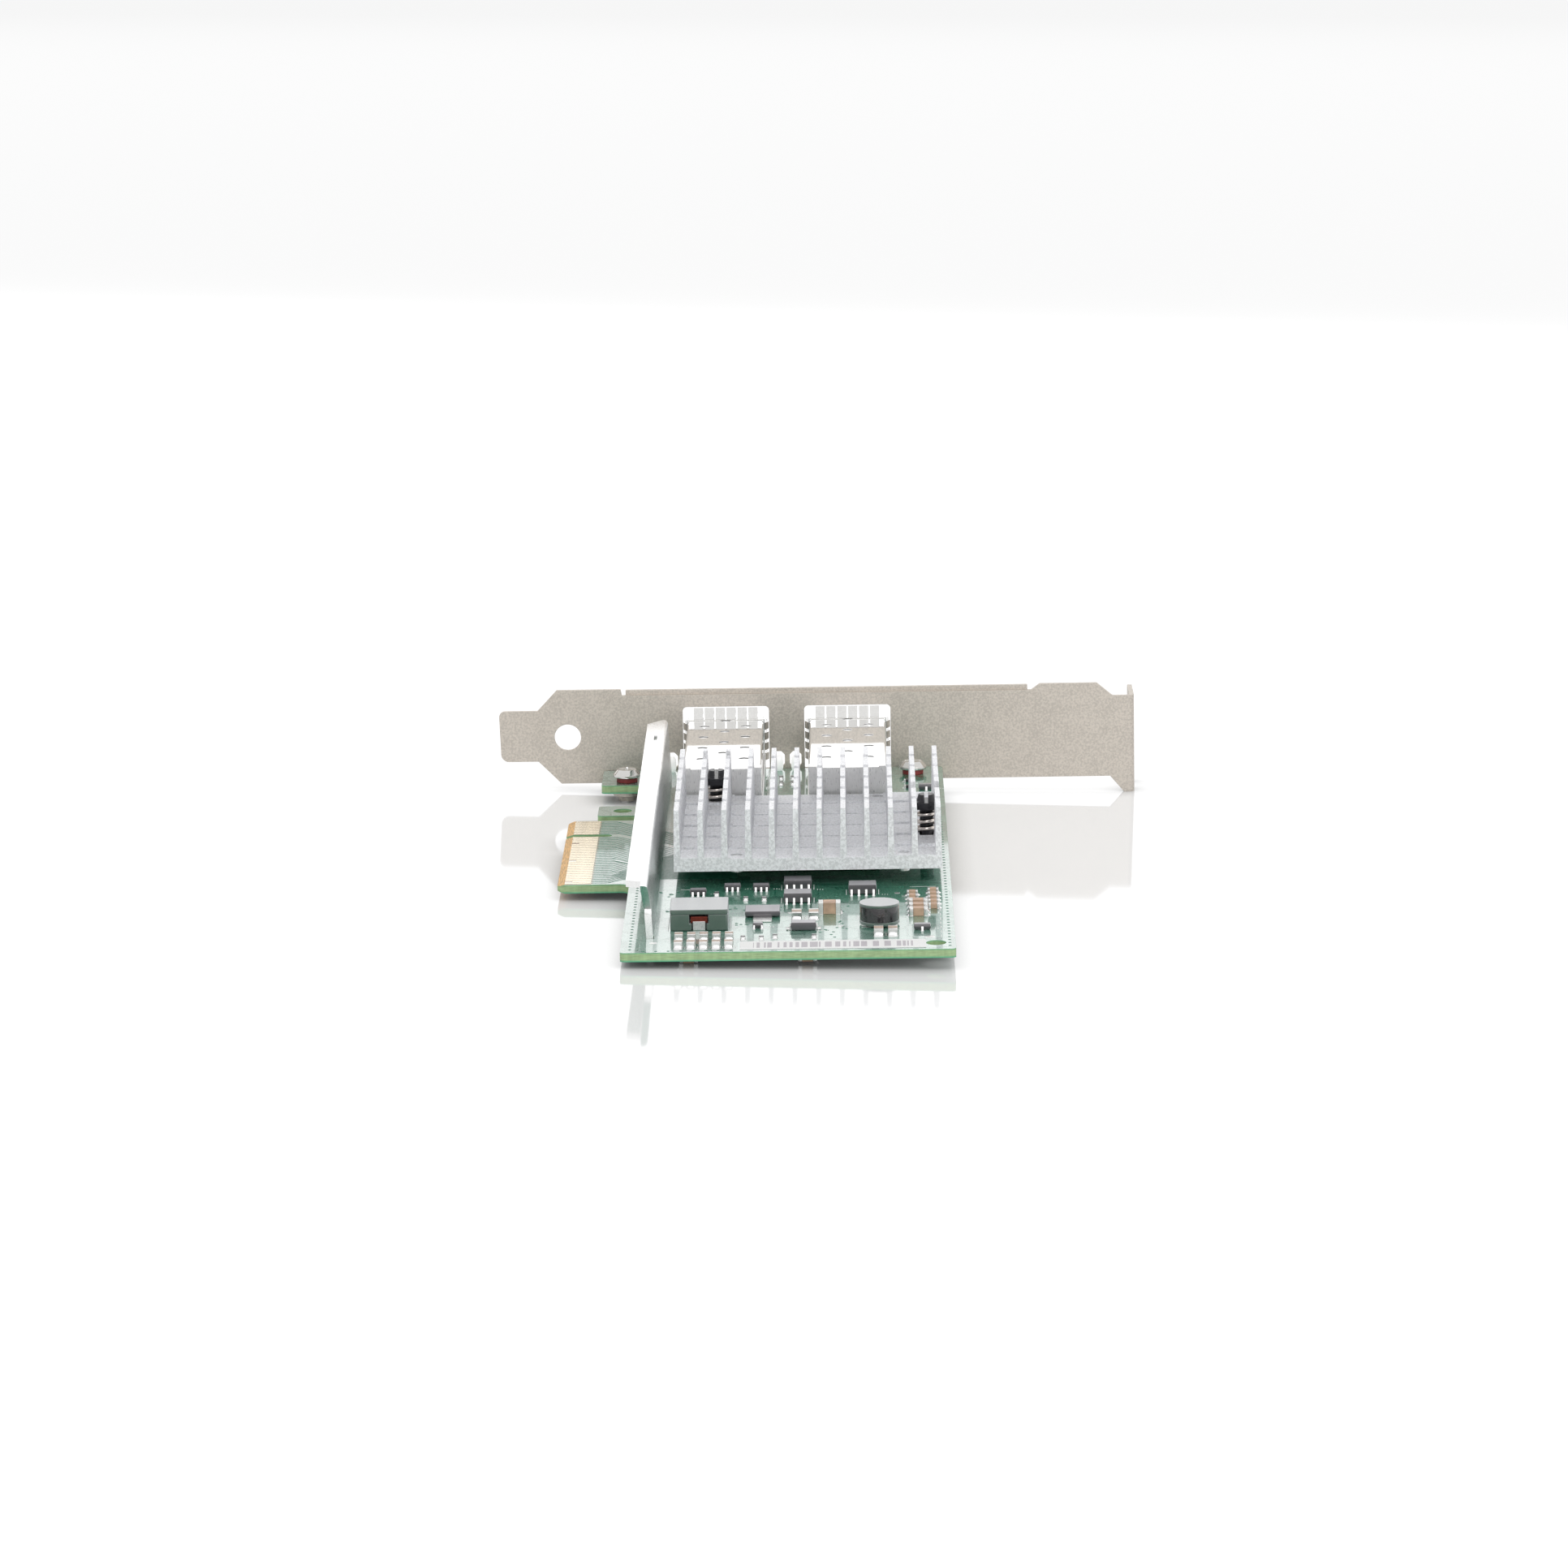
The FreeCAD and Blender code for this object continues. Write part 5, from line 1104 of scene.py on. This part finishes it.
class CARD_OT_ports(bpy.types.Operator):
    """Dresses both port cages, their spring collars and host connectors"""

    bl_idname = "card.ports"
    bl_label = "Ports"

    def execute(self, context):
        for letter in ("a", "b"):
            for name, node, slot, edge, finish in (
                ("port_cover_", "cage_cover_", "cage_steel", 0.05, "cage_steel"),
                ("port_base_", "cage_base_", "cage_steel", 0.05, "folded_steel"),
                ("port_spring_", "cage_spring_", "spring_steel", 0.03, "spring_steel"),
                ("port_socket_", "host_socket_", "socket_plastic", 0.06, "socket_plastic"),
                ("port_contacts_", "host_contacts_", "gold_plating", 0.02, "gold_plating"),
            ):
                dressed(name + letter, node + letter, slot, edge * MM, finish)
        return {"FINISHED"}


class CARD_OT_heatsink(bpy.types.Operator):
    """Dresses the heatsink with its studs, push pins and coil springs"""

    bl_idname = "card.heatsink"
    bl_label = "Heatsink"

    def execute(self, context):
        dressed("heatsink_body", "heatsink", "aluminium", sizes().fin_edge)
        dressed("heatsink_rivets", "heatsink_studs", "pin_steel", 0.05 * MM)
        dressed("push_pin_bodies", "push_pins", "pin_plastic", 0.10 * MM)
        make_pin_springs()
        return {"FINISHED"}


class CARD_OT_controller(bpy.types.Operator):
    """Dresses the controller package under the heatsink"""

    bl_idname = "card.controller"
    bl_label = "Controller"

    def execute(self, context):
        dressed("package_base", "controller_substrate", "laminate", 0.04 * MM, "package_laminate")
        dressed("package_cover", "controller_cover", "mould_black", 0.08 * MM)
        dressed("pad_sheet", "thermal_pad", "pad_grey", 0.05 * MM)
        make_balls()
        return {"FINISHED"}


class CARD_OT_stiffener(bpy.types.Operator):
    """Dresses the stiffener bar"""

    bl_idname = "card.stiffener"
    bl_label = "Stiffener bar"

    def execute(self, context):
        dressed("folded_bar", "stiffener_bar", "bar_metal", sizes().sheet_edge)
        return {"FINISHED"}


class CARD_OT_parts(bpy.types.Operator):
    """Dresses the chip capacitors, resistors and leaded packages, and adds their solder"""

    bl_idname = "card.parts"
    bl_label = "Soldered parts"

    def execute(self, context):
        edge = sizes().part_edge
        for slot, nodes in (
            ("tan_ceramic", ("power_capacitor_bodies", "small_capacitor_bodies",
                             "solder_side_capacitor_bodies")),
            ("grey_ceramic", ("output_capacitor_bodies",)),
            ("dark_ceramic", ("chip_resistor_bodies",)),
            ("mould_black", ("converter_bodies", "regulator_bodies", "transistor_bodies", "power_switch",
                             "diode_body")),
            ("copper", ("power_switch_pads",)),
            ("tinned", ("drum_terminals", "diode_leads", *CHIP_ENDS, *LEADS)),
        ):
            finish = "tinned" if slot == "copper" else slot
            for node in nodes:
                dressed("dressed_" + node, node, slot, edge, finish)
        make_solder()
        return {"FINISHED"}


class CARD_OT_inductors(bpy.types.Operator):
    """Dresses both inductors and winds the drum"""

    bl_idname = "card.inductors"
    bl_label = "Inductors"

    def execute(self, context):
        dressed("flat_core", "inductor_core", "ferrite", 0.12 * MM)
        dressed("flat_core_cap", "inductor_cap", "ferrite", 0.12 * MM)
        winding = dressed("flat_winding", "inductor_winding", "copper", 0.10 * MM)
        paint_between(winding, "tinned", -math.inf, TOP + 1.2 * MM)
        low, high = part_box("drum_winding")
        paint_between(dressed("drum", "drum_core", "ferrite", 0.10 * MM), "drum_resin", low.z, high.z)
        make_drum_winding()
        return {"FINISHED"}


class CARD_OT_indicators(bpy.types.Operator):
    """Dresses the indicators and the label"""

    bl_idname = "card.indicators"
    bl_label = "Indicators and label"

    def execute(self, context):
        make_indicators()
        dressed("label", "bare_label", "label_paper", 0.02 * MM)
        return {"FINISHED"}


OPERATORS = (
    CARD_OT_stage, CARD_OT_board, CARD_OT_bracket, CARD_OT_ports, CARD_OT_heatsink, CARD_OT_controller,
    CARD_OT_stiffener, CARD_OT_parts, CARD_OT_inductors, CARD_OT_indicators,
)
GROUPS = {"card_colours": CardColours, "card_sizes": CardSizes, "card_stage": CardStage}


class CARD_PT_panel(bpy.types.Panel):
    """Lists the card's settings and operators"""

    bl_idname = "CARD_PT_panel"
    bl_label = "Network interface card"
    bl_space_type = "VIEW_3D"
    bl_region_type = "UI"
    bl_category = "Card"

    def draw(self, context):
        for operator in OPERATORS:
            self.layout.operator(operator.bl_idname)
        for group in GROUPS:
            for name in GROUPS[group].__annotations__:
                self.layout.prop(getattr(context.scene, group), name)


CLASSES = (*GROUPS.values(), *OPERATORS, CARD_PT_panel)


def register():
    for made in CLASSES:
        bpy.utils.register_class(made)
    for name, group in GROUPS.items():
        setattr(bpy.types.Scene, name, bpy.props.PointerProperty(type=group))


def unregister():
    for name in GROUPS:
        delattr(bpy.types.Scene, name)
    for made in reversed(CLASSES):
        bpy.utils.unregister_class(made)


def main():
    register()
    for operator in OPERATORS:
        family, name = operator.bl_idname.split(".")
        getattr(getattr(bpy.ops, family), name)()


if __name__ == "__main__":
    main()
